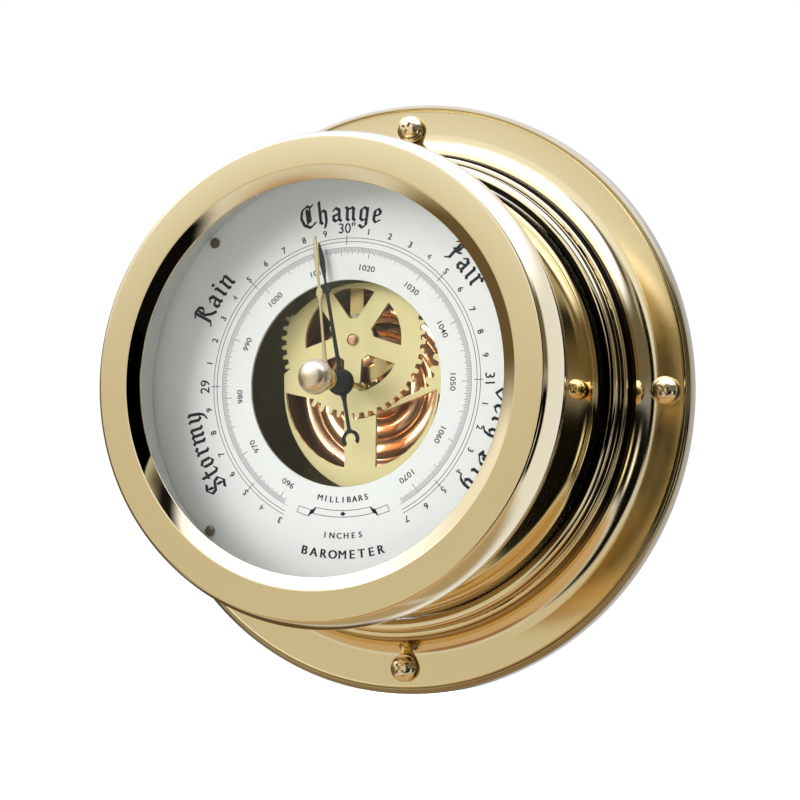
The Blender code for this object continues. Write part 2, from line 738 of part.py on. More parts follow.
def make_hand_arbor():
    """The arbor and its pinion are cut from one rod."""
    sections = [round_section(0.5 * MM, 28.0 * MM), round_section(0.5 * MM, 31.2 * MM)]
    sections += [leaf_section(31.2 * MM), leaf_section(32.4 * MM)]
    for radius, depth in ((0.55, 32.4), (0.55, 35.2), (0.8, 35.2), (0.8, 45.9)):
        sections.append(round_section(radius * MM, depth * MM))
    bm = bmesh.new()
    rings = [[bm.verts.new(point) for point in section] for section in sections]
    for here, there in zip(rings, rings[1:]):
        for i in range(len(here)):
            j = (i + 1) % len(here)
            bm.faces.new((here[i], here[j], there[j], there[i]))
    bm.faces.new(rings[0])
    bm.faces.new(rings[-1])
    add_piece("hand_arbor", bm, "brass")


def make_hairspring():
    """A flat spiral whose inner end turns with the arbor and whose outer end is pinned."""
    turns, steps = 3, 16
    path = []
    for i in range(turns * steps + 1):
        share = i / (turns * steps)
        path.append(((1.3 + 4.0 * share) * MM, 270.0 + 360.0 * turns * share, 28.8 * MM))
    add_piece("hairspring", coil_mesh(path, 0.1 * MM, 0.3 * MM), "steel")
    stud = [(0.0, 28.4), (0.7, 28.4), (0.7, 29.3), (0.0, 29.3)]
    turned("hairspring_stud", stud, "brass", TINY, (0.0, -6.4 * MM))


# ---------------------------------------------------------------- hands


def turned_about_axis(points, angle):
    """Points drawn with the hand upright, turned anticlockwise by angle."""
    c, s = math.cos(angle), math.sin(angle)
    return [(x * c - z * s, x * s + z * c) for x, z in points]


def blade(widths):
    """A tapering blade from (distance, half width) pairs in millimetres, up one side and down."""
    right = [(half * MM, along * MM) for along, half in widths]
    left = [(-x, z) for x, z in reversed(right)]
    return right + left


def make_indicator_hand():
    boss = 3.3 * MM
    pointer = [(3.2, 0.65), (22.6, 0.45), (23.0, 1.1), (24.0, 1.1), (24.4, 0.4)]
    pointer += [(27.4, 1.15), (35.2, 0.12)]
    outline = blade(pointer)
    outline += arc((0.0, 0.0), boss, 104.0, 256.0, 8)
    moon = (0.0, -14.2 * MM)
    outline += [(-0.42 * MM, -4.5 * MM), (-0.42 * MM, -11.9 * MM)]
    outline += arc(moon, 2.3 * MM, 104.0, 218.0, 5)
    outline += arc(moon, 1.35 * MM, 215.0, -35.0, 8)
    outline += arc(moon, 2.3 * MM, -38.0, 76.0, 5)
    outline += [(0.42 * MM, -11.9 * MM), (0.42 * MM, -4.5 * MM)]
    outline += arc((0.0, 0.0), boss, -76.0, 76.0, 8)
    turned_outline = turned_about_axis(outline, HAND_ANGLE)
    front = HAND_DEPTH + 0.5 * MM
    face_plate("indicator_hand", turned_outline, [], HAND_DEPTH, front, "black_enamel")
    hub = [(0.0, 47.0), (3.3, 47.0), (3.2, 47.7), (2.6, 48.0), (0.0, 48.1)]
    turned("hand_hub", hub, "black_enamel", SMALL)


def make_set_hand():
    pointer = [(2.2, 1.2), (4.0, 0.6), (7.0, 0.42), (19.0, 0.36), (20.6, 0.9), (22.2, 0.4)]
    pointer += [(27.0, 0.62), (35.4, 0.2)]
    outline = blade(pointer) + arc((0.0, 0.0), 2.6 * MM, 120.0, 420.0, 12)
    turned_outline = turned_about_axis(outline, SET_HAND_ANGLE)
    front = SET_HAND_DEPTH + 0.5 * MM
    hole = circle((0.0, 0.0), 1.3 * MM, TINY)
    face_plate("set_hand", turned_outline, [hole], SET_HAND_DEPTH, front, "brass")
    knob = [
        (0.0, 54.4),
        (0.9, 54.4),
        (0.9, 60.1),
        (3.3, 60.1),
        (4.3, 60.9),
        (4.3, 62.3),
        (3.9, 63.6),
        (2.7, 64.6),
        (1.2, 65.0),
        (0.0, 65.05),
    ]
    turned("set_knob", knob, "polished_brass", SMALL)
    ring("set_hand_bush", 1.15, 2.6, 55.9, 57.4, "brass", SMALL)


def main():
    clear_scene()
    make_mounting_flange()
    make_flange_screws()
    make_case_drum()
    make_bezel()
    make_glazing()
    make_dial()
    make_dial_ring()
    make_dial_screws()
    make_base_plate()
    make_base_posts()
    make_bridge_pillars()
    make_bridge_plate()
    make_capsule()
    make_adjustment()
    make_rocker()
    make_shaft_brackets()
    make_link()
    make_sector()
    make_sector_cock()
    make_arbor_cock()
    make_hand_arbor()
    make_hairspring()
    make_indicator_hand()
    make_set_hand()


main()
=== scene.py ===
"""The look of a flanged brass ship barometer, built round its CAD frame.

Lengths in profiles and outlines are millimetres. Depth is the distance forward of the wall, so a
point at depth d has y = -d. Dial angles are degrees clockwise from twelve o'clock.
"""

import math

import bmesh
import bpy
from mathutils import Matrix, Vector
from mathutils.geometry import delaunay_2d_cdt


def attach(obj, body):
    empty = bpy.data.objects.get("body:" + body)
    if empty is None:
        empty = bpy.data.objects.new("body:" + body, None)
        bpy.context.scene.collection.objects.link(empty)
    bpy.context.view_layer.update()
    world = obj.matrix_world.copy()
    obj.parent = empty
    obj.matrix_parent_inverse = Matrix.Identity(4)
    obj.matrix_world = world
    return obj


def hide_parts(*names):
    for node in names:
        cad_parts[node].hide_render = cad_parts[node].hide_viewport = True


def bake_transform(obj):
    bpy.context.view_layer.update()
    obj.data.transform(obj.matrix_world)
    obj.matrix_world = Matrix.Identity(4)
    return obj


MM = 0.001
ROUND = 192  # facets round the large turned pieces
SMALL = 48  # facets round the screws and posts

# Places on the frame, in millimetres
DIAL_FRONT = 44.5
DIAL_RADIUS = 53.4
DIAL_OPENING = 25.5
SCREW_CIRCLE = 69.4
DIAL_SCREW_CIRCLE = 51.0
PILLAR_CIRCLE = 31.0
PILLAR_ANGLES = (10.0, 62.0, 270.0)
POST_CIRCLE = 31.3
POST_ANGLES = (0.0, 100.0, 260.0)
WHEEL = (-2.3, 11.7)
ADJUSTER_Z = -14.0
HAND_ANGLE = -10.8  # dial degrees of the indicator hand at rest
SET_HAND_ANGLE = -6.0
PRINT_DEPTH = (44.504, 44.535)  # rear and front of the ink
SHARP_ANGLE = 35.0  # degrees; a flatter edge is shaded smooth

# Camera
CAMERA_AZIMUTH = 23.33
CAMERA_ELEVATION = -5.01
CAMERA_ROLL = 0.73
CAMERA_DISTANCE = 0.8
CAMERA_LENS = 139.05
CAMERA_TARGET = Vector((-0.00439, 0.0, -0.00027))


# ------------------------ node helpers


def new_material(name):
    """A node material with a Principled shader. Returns the material, its nodes and the shader."""
    material = bpy.data.materials.new(name)
    material.use_nodes = True
    nodes = material.node_tree.nodes
    return material, material.node_tree, nodes["Principled BSDF"]


def add_node(tree, kind, inputs):
    """A shader node. inputs names or numbers its inputs, and gives each a socket or a value."""
    node = tree.nodes.new("ShaderNode" + kind)
    for name, value in inputs.items():
        if isinstance(value, bpy.types.NodeSocket):
            tree.links.new(value, node.inputs[name])
        else:
            node.inputs[name].default_value = value
    return node


def math_node(tree, operation, *operands):
    """The result of a Math node. Operands are sockets or numbers."""
    node = add_node(tree, "Math", dict(enumerate(operands)))
    node.operation = operation
    return node.outputs[0]


def mix_colour(tree, share, first, second):
    """A colour Mix node. share is a socket, and first and second are sockets or RGB tuples."""
    node = add_node(tree, "Mix", {0: share})
    node.data_type = "RGBA"
    for index, value in ((6, first), (7, second)):
        if isinstance(value, tuple):
            node.inputs[index].default_value = (*value, 1.0)
        else:
            tree.links.new(value, node.inputs[index])
    return node.outputs[2]


def object_coordinates(tree):
    return tree.nodes.new("ShaderNodeTexCoord").outputs["Object"]


def split_axes(tree, vector):
    """The x, y and z sockets of a vector."""
    return add_node(tree, "SeparateXYZ", {0: vector}).outputs


def smooth_step(tree, value, start, end):
    """0 at start and 1 at end, with a smooth rise between."""
    node = add_node(tree, "MapRange", {"Value": value, "From Min": start, "From Max": end})
    node.interpolation_type = "SMOOTHSTEP"
    return node.outputs["Result"]


def noise(tree, scale, detail=3.0):
    """Fine noise in object space, in cycles a metre."""
    inputs = {"Vector": object_coordinates(tree), "Scale": scale, "Detail": detail}
    return add_node(tree, "TexNoise", inputs).outputs["Fac"]


def spread(tree, value, low, high):
    """Maps a 0 to 1 value to low to high."""
    node = add_node(tree, "MapRange", {"Value": value, "To Min": low, "To Max": high})
    return node.outputs["Result"]


def radius_plus_depth(tree):
    """A length that changes along any profile turned about the depth axis."""
    x, y, z = split_axes(tree, object_coordinates(tree))
    square_x = math_node(tree, "MULTIPLY", x, x)
    square_z = math_node(tree, "MULTIPLY", z, z)
    radius = math_node(tree, "SQRT", math_node(tree, "ADD", square_x, square_z))
    return math_node(tree, "ADD", radius, y)


def turning_marks(tree, pitch_mm):
    """The fine even rings a lathe leaves about the depth axis."""
    turns = math_node(tree, "MULTIPLY", radius_plus_depth(tree), 2.0 * math.pi / (pitch_mm * MM))
    return math_node(tree, "SINE", turns)


def add_bump(tree, shader, height, distance_mm):
    bump = add_node(tree, "Bump", {"Height": height, "Distance": distance_mm * MM})
    tree.links.new(bump.outputs[0], shader.inputs["Normal"])


# ------------------------ materials


def set_finish(tree, shader, tone, polish, roughness, metallic=0.0):
    """Sets a shader's colour, its roughness as polish runs from 0 to 1, and how metallic it is."""
    tree.links.new(tone, shader.inputs["Base Color"])
    tree.links.new(spread(tree, polish, *roughness), shader.inputs["Roughness"])
    shader.inputs["Metallic"].default_value = metallic


def metal(name, light, dark, roughness, patch=90.0, marks=None, grain=None, share=1.0):
    """A metal whose tone and polish drift slightly.

    roughness is (least, most), patch is how fast the tone drifts in cycles a metre, marks is a
    lathe's (pitch, height) in millimetres, grain is (cycles a metre, height in millimetres), and
    share is how metallic it is.
    """
    material, tree, shader = new_material(name)
    tone = mix_colour(tree, noise(tree, patch), dark, light)
    set_finish(tree, shader, tone, noise(tree, patch * 7.0, 5.0), roughness, share)
    if marks:
        add_bump(tree, shader, turning_marks(tree, marks[0]), marks[1])
    elif grain:
        add_bump(tree, shader, noise(tree, grain[0], 6.0), grain[1])
    return material


def paint(name, light, dark, roughness, grain_mm, gloss):
    """A painted or lacquered surface with a fine grain. gloss is the specular level."""
    material, tree, shader = new_material(name)
    tone = mix_colour(tree, noise(tree, 220.0, 5.0), dark, light)
    set_finish(tree, shader, tone, noise(tree, 900.0), roughness)
    shader.inputs["Specular IOR Level"].default_value = gloss
    add_bump(tree, shader, noise(tree, 2600.0, 6.0), grain_mm)
    return material


# Painted shade in the turned grooves: lighter low down, darkest higher up.
GROOVE_SHADE_HEIGHTS = (-50.0, -26.0)  # bright below the first, fully dark above the second
GROOVE_SHADE_BELOW = (0.42, 0.27, 0.09)
GROOVE_SHADE_ABOVE = ((0.02, 0.016, 0.009), (0.01, 0.008, 0.005))


def groove_material():
    """Painted shade in the turned grooves: dark brass, darkest higher up."""
    material, tree, shader = new_material("painted_groove_shade")
    upward = split_axes(tree, object_coordinates(tree))[2]
    height = smooth_step(tree, upward, *[edge * MM for edge in GROOVE_SHADE_HEIGHTS])
    dark = mix_colour(tree, noise(tree, 300.0), *GROOVE_SHADE_ABOVE)
    tone = mix_colour(tree, height, GROOVE_SHADE_BELOW, dark)
    set_finish(tree, shader, tone, noise(tree, 500.0), (0.18, 0.3), 1.0)
    return material


FACED_TONES = ((0.58, 0.41, 0.15), (0.90, 0.69, 0.33))


def faced_material():
    """Brass as the lathe faced it, with uneven rings about the depth axis."""
    material, tree, shader = new_material("faced_brass")
    rings = tree.nodes.new("ShaderNodeTexNoise")
    rings.noise_dimensions = "1D"
    rings.inputs["Scale"].default_value = 700.0
    rings.inputs["Detail"].default_value = 4.0
    tree.links.new(radius_plus_depth(tree), rings.inputs["W"])
    depth_of_ring = rings.outputs["Fac"]
    tone = mix_colour(tree, depth_of_ring, *FACED_TONES)
    set_finish(tree, shader, tone, depth_of_ring, (0.22, 0.42), 1.0)
    add_bump(tree, shader, depth_of_ring, 0.02)
    return material


def glass_material():
    """Thin clear glass that lets light straight through and keeps a faint reflection."""
    material, tree, shader = new_material("clear_flat_glass")
    tree.nodes.remove(shader)
    clear = add_node(tree, "BsdfTransparent", {0: (0.985, 0.995, 0.99, 1.0)})
    gloss = add_node(tree, "BsdfGlossy", {"Roughness": 0.015})
    fresnel = add_node(tree, "Fresnel", {"IOR": 1.45})
    smear = spread(tree, noise(tree, 40.0), 0.35, 0.6)
    share = math_node(tree, "MULTIPLY", fresnel.outputs[0], smear)
    mix = add_node(tree, "MixShader", {0: share, 1: clear.outputs[0], 2: gloss.outputs[0]})
    output = tree.nodes["Material Output"]
    tree.links.new(mix.outputs[0], output.inputs["Surface"])
    return material


LACQUER = ((0.90, 0.77, 0.47), (0.87, 0.73, 0.42))
# Each metal: name, light tone, dark tone, roughness from and to, and what metal() takes besides
METALS = {
    "mirror": ("polished_lacquered_brass", *LACQUER, (0.015, 0.04), {"patch": 25}),
    "satin": ("satin_lacquered_brass", *LACQUER, (0.09, 0.14), {"patch": 25}),
    "soft": ("buffed_brass", (0.94, 0.80, 0.52), (0.88, 0.70, 0.38), (0.14, 0.22), {"patch": 60}),
    # The rim brass is darker to paint shade on the flange's outer rim, in place of a bright edge
    # reflection.
    "rim": ("rim_brass_painted_shade", (0.44, 0.36, 0.20), (0.36, 0.29, 0.15), (0.14, 0.24), {"patch": 60}),
    "pearl": ("worn_knob_brass", (0.98, 0.86, 0.62), (0.94, 0.78, 0.50), (0.26, 0.36), {"patch": 200}),
    "aged": ("browned_brass", (0.30, 0.25, 0.15), (0.16, 0.13, 0.08), (0.3, 0.45), {"patch": 400}),
    "brass": (
        "machined_brass", (0.86, 0.68, 0.32), (0.72, 0.52, 0.20), (0.16, 0.3),
        {"marks": (0.12, 0.0002)},
    ),
    "steel": (
        "bright_steel", (0.66, 0.66, 0.68), (0.50, 0.50, 0.52), (0.15, 0.3),
        {"marks": (0.1, 0.0002)},
    ),
    "gilt": (
        "gilt_stamped_plate", (0.98, 0.88, 0.50), (0.94, 0.81, 0.41), (0.28, 0.38),
        {"grain": (2400.0, 0.004), "share": 0.7},
    ),
    "copper": (
        "pressed_copper", (1.0, 0.63, 0.38), (0.94, 0.51, 0.28), (0.17, 0.26),
        {"marks": (0.25, 0.0002), "share": 0.92},
    ),
}
# Each paint: name, light tone, dark tone, roughness from and to, grain in millimetres, gloss
PAINTS = {
    "dial": ("silvered_dial_face", (0.80, 0.80, 0.79), (0.76, 0.76, 0.75), (0.3, 0.42), 0.003, 0.3),
    "ink": ("printing_ink", (0.018, 0.019, 0.034), (0.01, 0.01, 0.02), (0.5, 0.6), 0.002, 0.1),
    "grey_ink": ("grey_printing_ink", (0.16, 0.16, 0.18), (0.11, 0.11, 0.13), (0.5, 0.6), 0.002, 0.1),
    "black": ("black_enamel", (0.02, 0.024, 0.022), (0.013, 0.015, 0.014), (0.3, 0.42), 0.003, 0.2),
    # The dark olive stands in for the shade inside the case.
    "dark": ("dark_olive_painted_shade", (0.42, 0.38, 0.18), (0.32, 0.285, 0.13), (0.5, 0.7), 0.02, 0.15),
    "rubber": ("black_rubber", (0.02, 0.02, 0.02), (0.012, 0.012, 0.012), (0.7, 0.85), 0.02, 0.5),
}


def make_materials():
    """Every material, by its short key."""
    made = {"groove": groove_material(), "faced": faced_material(), "glass": glass_material()}
    for key, (name, light, dark, roughness, finish) in METALS.items():
        made[key] = metal(name, light, dark, roughness, **finish)
    for key, paint_values in PAINTS.items():
        made[key] = paint(*paint_values)
    return made


# ------------------------ mesh helpers


def place(x, z, depth):
    """A point in metres from millimetres across, up and forward of the wall."""
    return Vector((x * MM, -depth * MM, z * MM))


def on_circle(radius, degrees):
    """(x, z) at a drawing angle, anticlockwise from +X."""
    a = math.radians(degrees)
    return radius * math.cos(a), radius * math.sin(a)


def on_dial(radius, degrees):
    """(x, z) at a dial angle, clockwise from twelve o'clock."""
    return on_circle(radius, 90.0 - degrees)


def arc(centre, radius, start, end, steps):
    points = []
    for i in range(steps + 1):
        x, z = on_circle(radius, start + (end - start) * i / steps)
        points.append((centre[0] + x, centre[1] + z))
    return points


def rounded(corners, steps):
    """A closed outline from (u, v, rounding) corners, each cut with a curve of some steps."""
    points = []
    count = len(corners)
    for i in range(count):
        here = Vector(corners[i][:2])
        size = corners[i][2] if len(corners[i]) > 2 else 0.0
        if size <= 0.0:
            points.append(here)
            continue
        before = Vector(corners[i - 1][:2]) - here
        after = Vector(corners[(i + 1) % count][:2]) - here
        start = here + before.normalized() * min(size, before.length * 0.49)
        end = here + after.normalized() * min(size, after.length * 0.49)
        points += bow(start, here, end, steps)
    return points


def bow(start, control, end, steps):
    """Points on a smooth curve from start to end, pulled towards control."""
    a, b, c = Vector(start), Vector(control), Vector(end)
    points = []
    for i in range(steps + 1):
        t = i / steps
        points.append(tuple(a * (1 - t) ** 2 + b * 2 * t * (1 - t) + c * t**2))
    return points


def add_object(name, bm, material, body, smooth_angle=SHARP_ANGLE):
    """Links a piece that rides on a CAD body."""
    bmesh.ops.recalc_face_normals(bm, faces=bm.faces)
    mesh = bpy.data.meshes.new(name)
    bm.to_mesh(mesh)
    bm.free()
    mesh.shade_smooth()
    mesh.set_sharp_from_angle(angle=math.radians(smooth_angle))
    mesh.materials.append(material)
    obj = bpy.data.objects.new(name, mesh)
    bpy.context.scene.collection.objects.link(obj)
    if body:
        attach(obj, body)
    return obj


def spin(bm, profile, segments, centre=(0.0, 0.0)):
    """Adds a closed (radius, depth) profile spun about the depth axis through centre."""
    loops = []
    for radius, depth in profile:
        if radius < 1e-6:
            loops.append([bm.verts.new(place(centre[0], centre[1], depth))])
            continue
        loop = []
        for i in range(segments):
            x, z = on_circle(radius, 360.0 * i / segments)
            loop.append(bm.verts.new(place(centre[0] + x, centre[1] + z, depth)))
        loops.append(loop)
    for here, there in zip(loops, loops[1:] + loops[:1]):
        if len(here) == 1 and len(there) == 1:
            continue
        for i in range(segments):
            j = (i + 1) % segments
            corners = [here[i % len(here)], here[j % len(here)]]
            corners += [there[j % len(there)], there[i % len(there)]]
            bm.faces.new(list(dict.fromkeys(corners)))


def lathe(
    name, node, corners, material, body="case", segments=ROUND, centre=(0.0, 0.0), steps=6
):
    """A turned piece from rounded profile corners, which stands for a CAD node."""
    bm = bmesh.new()
    spin(bm, rounded(corners, steps), segments, centre)
    obj = add_object(name, bm, M[material], body)
    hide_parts(node)
    return obj


def plate(name, node, outline, holes, rear, front, material, body, bevel):
    """A flat plate parallel to the dial with a rolled edge, which stands for a CAD node."""
    bm = bmesh.new()
    edges = []
    for loop in [outline] + list(holes):
        verts = [bm.verts.new(place(x, z, rear)) for x, z in loop]
        for a, b in zip(verts, verts[1:] + verts[:1]):
            edges.append(bm.edges.new((a, b)))
    bmesh.ops.triangle_fill(bm, use_beauty=True, use_dissolve=False, edges=edges)
    grown = bmesh.ops.extrude_face_region(bm, geom=list(bm.faces))
    raised = [item for item in grown["geom"] if isinstance(item, bmesh.types.BMVert)]
    bmesh.ops.translate(bm, verts=raised, vec=place(0.0, 0.0, front - rear))
    obj = add_object(name, bm, M[material], body)
    add_bevel(obj, bevel)
    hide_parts(node)


def add_bevel(obj, width_mm):
    modifier = obj.modifiers.new("edges", "BEVEL")
    modifier.width = width_mm * MM
    modifier.segments = 2
    modifier.limit_method = "ANGLE"
    modifier.angle_limit = math.radians(40.0)


def cut(obj, bm_cutter):
    """Cuts a solid out of a piece and keeps the result as its mesh."""
    bmesh.ops.recalc_face_normals(bm_cutter, faces=bm_cutter.faces)
    mesh = bpy.data.meshes.new("cutter")
    bm_cutter.to_mesh(mesh)
    bm_cutter.free()
    cutter = bpy.data.objects.new("cutter", mesh)
    bpy.context.scene.collection.objects.link(cutter)
    modifier = obj.modifiers.new("cut", "BOOLEAN")
    modifier.operation = "DIFFERENCE"
    modifier.solver = "EXACT"
    modifier.object = cutter
    graph = bpy.context.evaluated_depsgraph_get()
    result = bpy.data.meshes.new_from_object(obj.evaluated_get(graph))
    obj.modifiers.remove(modifier)
    old = obj.data
    obj.data = result
    bpy.data.meshes.remove(old)
    bpy.data.objects.remove(cutter, do_unlink=True)
    obj.data.set_sharp_from_angle(angle=math.radians(SHARP_ANGLE))


def drill(obj, centre, radius, rear, front):
    """Cuts a round hole through a piece along the depth axis."""
    bm = bmesh.new()
    spin(bm, [(0.0, rear), (radius, rear), (radius, front), (0.0, front)], SMALL, centre)
    cut(obj, bm)


def add_box(bm, centre, half, turn_degrees):
    """Adds a box about (x, z, depth), turned in the plane of the dial."""
    turn = math.radians(turn_degrees)
    corners = []
    for x, z in ((-1, -1), (1, -1), (1, 1), (-1, 1)):
        corners.append((x * half[0], z * half[1]))
    c, s = math.cos(turn), math.sin(turn)
    flat = [(centre[0] + x * c - z * s, centre[1] + x * s + z * c) for x, z in corners]
    low = [bm.verts.new(place(x, z, centre[2] - half[2])) for x, z in flat]
    high = [bm.verts.new(place(x, z, centre[2] + half[2])) for x, z in flat]
    bm.faces.new(low)
    bm.faces.new(high)
    for i in range(4):
        bm.faces.new((low[i - 1], low[i], high[i], high[i - 1]))


def repaint(obj, material, radii, depths):
    """Gives the faces in a range of radius and depth, in millimetres, a second finish."""
    obj.data.materials.append(M[material])
    index = len(obj.data.materials) - 1
    for face in obj.data.polygons:
        radius = math.hypot(face.center.x, face.center.z) / MM
        depth = -face.center.y / MM
        if radii[0] < radius < radii[1] and depths[0] < depth < depths[1]:
            face.material_index = index


def restyle(nodes, material, bevel):
    """Gives CAD nodes that are kept a material, and softens their edges."""
    for obj in [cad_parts[node] for node in nodes]:
        if not obj.material_slots:
            obj.data.materials.append(M[material])
        for entry in obj.material_slots:
            entry.link = "OBJECT"
            entry.material = M[material]
        if bevel:
            add_bevel(obj, bevel)


# ------------------------ case


def make_case():
    """The polished turned pieces of the case, each with crisp but rolled edges."""
    flange = lathe(
        "flange_turned",
        "mounting_flange",
        [
            (57.3, 0.0), (75.4, 0.0, 0.4), (76.0, 0.8, 0.4), (76.0, 4.2, 1.4), (74.9, 5.1, 0.6),
            (74.2, 4.7, 0.4), (68.0, 4.7, 0.3),
        ]
        + bow((67.6, 4.72), (63.4, 4.9), (62.4, 9.2), 24)
        + [
            (61.7, 9.4, 0.2), (61.7, 10.8), (61.7, 11.9, 1.1), (60.2, 11.9, 0.5), (60.1, 12.7, 0.2),
            (60.1, 14.0), (60.1, 15.1, 1.1), (58.6, 15.5, 0.4), (57.3, 15.5),
        ],
        "mirror",
    )
    repaint(flange, "satin", (62.8, 74.3), (4.5, 7.0))
    repaint(flange, "faced", (57.0, 75.5), (-0.1, 0.1))
    # Painted shade on the flange's outer rim.
    repaint(flange, "rim", (74.3, 76.1), (0.6, 5.3))
    # Painted shade in the grooves between the beads, the cove and the drum.
    repaint(flange, "groove", (61.65, 62.8), (6.5, 10.9))
    repaint(flange, "groove", (60.2, 60.7), (11.0, 12.0))
    repaint(flange, "groove", (60.05, 60.15), (12.0, 14.1))
    repaint(flange, "groove", (57.0, 58.6), (15.0, 16.0))
    for angle in (0.0, 90.0, 180.0, 270.0):
        drill(flange, on_circle(SCREW_CIRCLE, angle), 2.6, -1.0, 7.0)

    drum = lathe(
        "drum_turned",
        "case_drum",
        [
            (0.0, 0.0), (57.0, 0.0, 0.3), (57.0, 15.6), (57.0, 18.6), (57.0, 55.0, 0.2),
            (55.8, 55.0, 0.2), (55.8, 1.2, 0.4), (0.0, 1.2),
        ],
        "mirror",
    )
    drill(drum, (0.0, ADJUSTER_Z), 3.4, -1.0, 3.0)
    # Painted shade in the groove where the drum meets the flange.
    repaint(drum, "groove", (56.9, 57.1), (15.7, 18.5))
    repaint(drum, "faced", (0.0, 56.9), (-0.1, 0.1))
    # Painted shade on the inside of the drum.
    repaint(drum, "dark", (0.0, 56.2), (1.0, 54.9))

    lathe(
        "bezel_turned",
        "bezel",
        [(57.3, 47.8, 0.1), (59.0, 47.8, 0.2)]
        + bow((59.5, 48.2), (62.0, 54.4), (59.2, 61.1), 24)
        + [(58.7, 61.95, 0.8), (51.4, 61.95, 0.25), (48.1, 60.5, 0.15), (48.2, 60.0)]
        + [(55.3, 60.0), (55.3, 55.5), (57.3, 55.3)],
        "mirror", steps=8,
    )
    rings = (
        (
            "spacer_ring_turned", "spacer_ring", "dial", "dial_white",
            [(54.4, 44.8, 0.1), (54.4, 56.4, 0.1), (52.8, 56.4, 0.25), (52.8, 44.8, 0.25)],
        ),
        (
            "glass_gasket_ring", "glass_gasket", "rubber", "rubber",
            [(54.8, 56.7, 0.2), (54.8, 57.5, 0.2), (52.9, 57.5, 0.3), (52.9, 56.7, 0.3)],
        ),
        (
            "glass_disc", "glass", "glass", "clear_glass",
            [(1.3, 57.8, 0.1), (55.0, 57.8, 0.2), (55.0, 59.7, 0.2), (1.3, 59.7, 0.1)],
        ),
    )
    for name, node, material, slot, profile in rings:
        lathe(name, node, profile, material)


def screw_head(kind, label, centre, turn):
    """A domed screw. Its recess is (shape, half length, half width, lowest and highest depth)."""
    material, slot, recess, profile = SCREWS[kind]
    node = f"{kind}_screw_{label}"
    obj = lathe(node + "_turned", node, profile, material, "case", SMALL, centre)
    shape, half_long, half_wide, low, high = recess
    middle = (centre[0], centre[1], (low + high) / 2)
    bars = [(half_long, half_wide)]
    if shape == "cross":
        bars.append((half_wide, half_long))
    for half in bars:
        bm = bmesh.new()
        add_box(bm, middle, (*half, (high - low) / 2), turn)
        cut(obj, bm)


# Each kind of screw: finish, slot, recess as screw_head takes it, profile
SCREWS = {
    "flange": ("soft", "polished_brass", ("cross", 1.6, 0.36, 7.1, 9.0), [
        (0.0, 0.2), (2.2, 0.2), (2.2, 5.4, 0.1), (3.5, 5.5, 0.2), (3.5, 6.3, 0.5), (2.6, 7.5, 1.0),
        (1.3, 8.0, 0.6), (0.0, 8.05),
    ]),
    "dial": ("aged", "brass", ("slot", 2.0, 0.2, 45.3, 46.5), [
        (0.0, 41.8), (0.8, 41.8), (0.8, 44.8), (1.35, 44.8, 0.1), (1.3, 45.2, 0.25),
        (0.7, 45.6, 0.3), (0.0, 45.62),
    ]),
    "bridge": ("steel", "steel", ("slot", 2.2, 0.25, 35.6, 37.0), [
        (0.0, 31.0), (0.9, 31.0), (0.9, 35.1), (1.8, 35.1, 0.1), (1.75, 35.8, 0.3),
        (0.9, 36.1, 0.3), (0.0, 36.12),
    ]),
    "base": ("steel", "steel", ("slot", 2.8, 0.3, 18.2, 20.0), [
        (0.0, 12.6), (1.2, 12.6), (1.2, 17.7), (2.3, 17.7, 0.1), (2.25, 18.5, 0.3),
        (1.1, 18.8, 0.3), (0.0, 18.82),
    ]),
}
FLANGE_SCREW_TURNS = {"right": 38.0, "top": 62.0, "left": 15.0, "bottom": 45.0}
DIAL_SCREW_TURNS = (20.0, 75.0, 130.0, 160.0)


def make_screws():
    """The screws that show, each turned to its own angle."""
    for i, (label, turn) in enumerate(FLANGE_SCREW_TURNS.items()):
        screw_head("flange", label, on_circle(SCREW_CIRCLE, 90.0 * i), turn)
    for i, turn in enumerate(DIAL_SCREW_TURNS, start=1):
        screw_head("dial", i, on_circle(DIAL_SCREW_CIRCLE, 90.0 * i - 45.0), turn)
    for i, (pillar, post) in enumerate(zip(PILLAR_ANGLES, POST_ANGLES), start=1):
        screw_head("bridge", i, on_circle(PILLAR_CIRCLE, pillar), 37.0 * i)
        screw_head("base", i, on_circle(POST_CIRCLE, post), 51.0 * i)


def make_posts():
    """The round pillars and posts of the movement, finer than their CAD solids."""
    pillar = [(0.0, 17.7), (1.9, 17.7, 0.2), (1.9, 33.5, 0.2), (1.2, 33.5), (1.2, 30.5), (0.0, 30.5)]
    post = [(0.0, 1.5), (2.5, 1.5, 0.2), (2.5, 15.9, 0.2), (1.5, 15.9), (1.5, 12.0), (0.0, 12.0)]
    for i, (pillar_angle, post_angle) in enumerate(zip(PILLAR_ANGLES, POST_ANGLES), start=1):
        turned = (
            (f"bridge_pillar_{i}", pillar, on_circle(PILLAR_CIRCLE, pillar_angle)),
            (f"base_post_{i}", post, on_circle(POST_CIRCLE, post_angle)),
        )
        for node, profile, centre in turned:
            lathe(node + "_turned", node, profile, "brass", "case", SMALL, centre)


# ------------------------ dial


def make_dial():
    """The dial sheet with a rolled opening edge."""
    lathe(
        "dial_face",
        "dial",
        [
            (DIAL_OPENING, 43.7, 0.15), (DIAL_RADIUS, 43.7, 0.15), (DIAL_RADIUS, DIAL_FRONT, 0.15),
            (DIAL_OPENING, DIAL_FRONT, 0.2),
        ],
        "dial",
    )


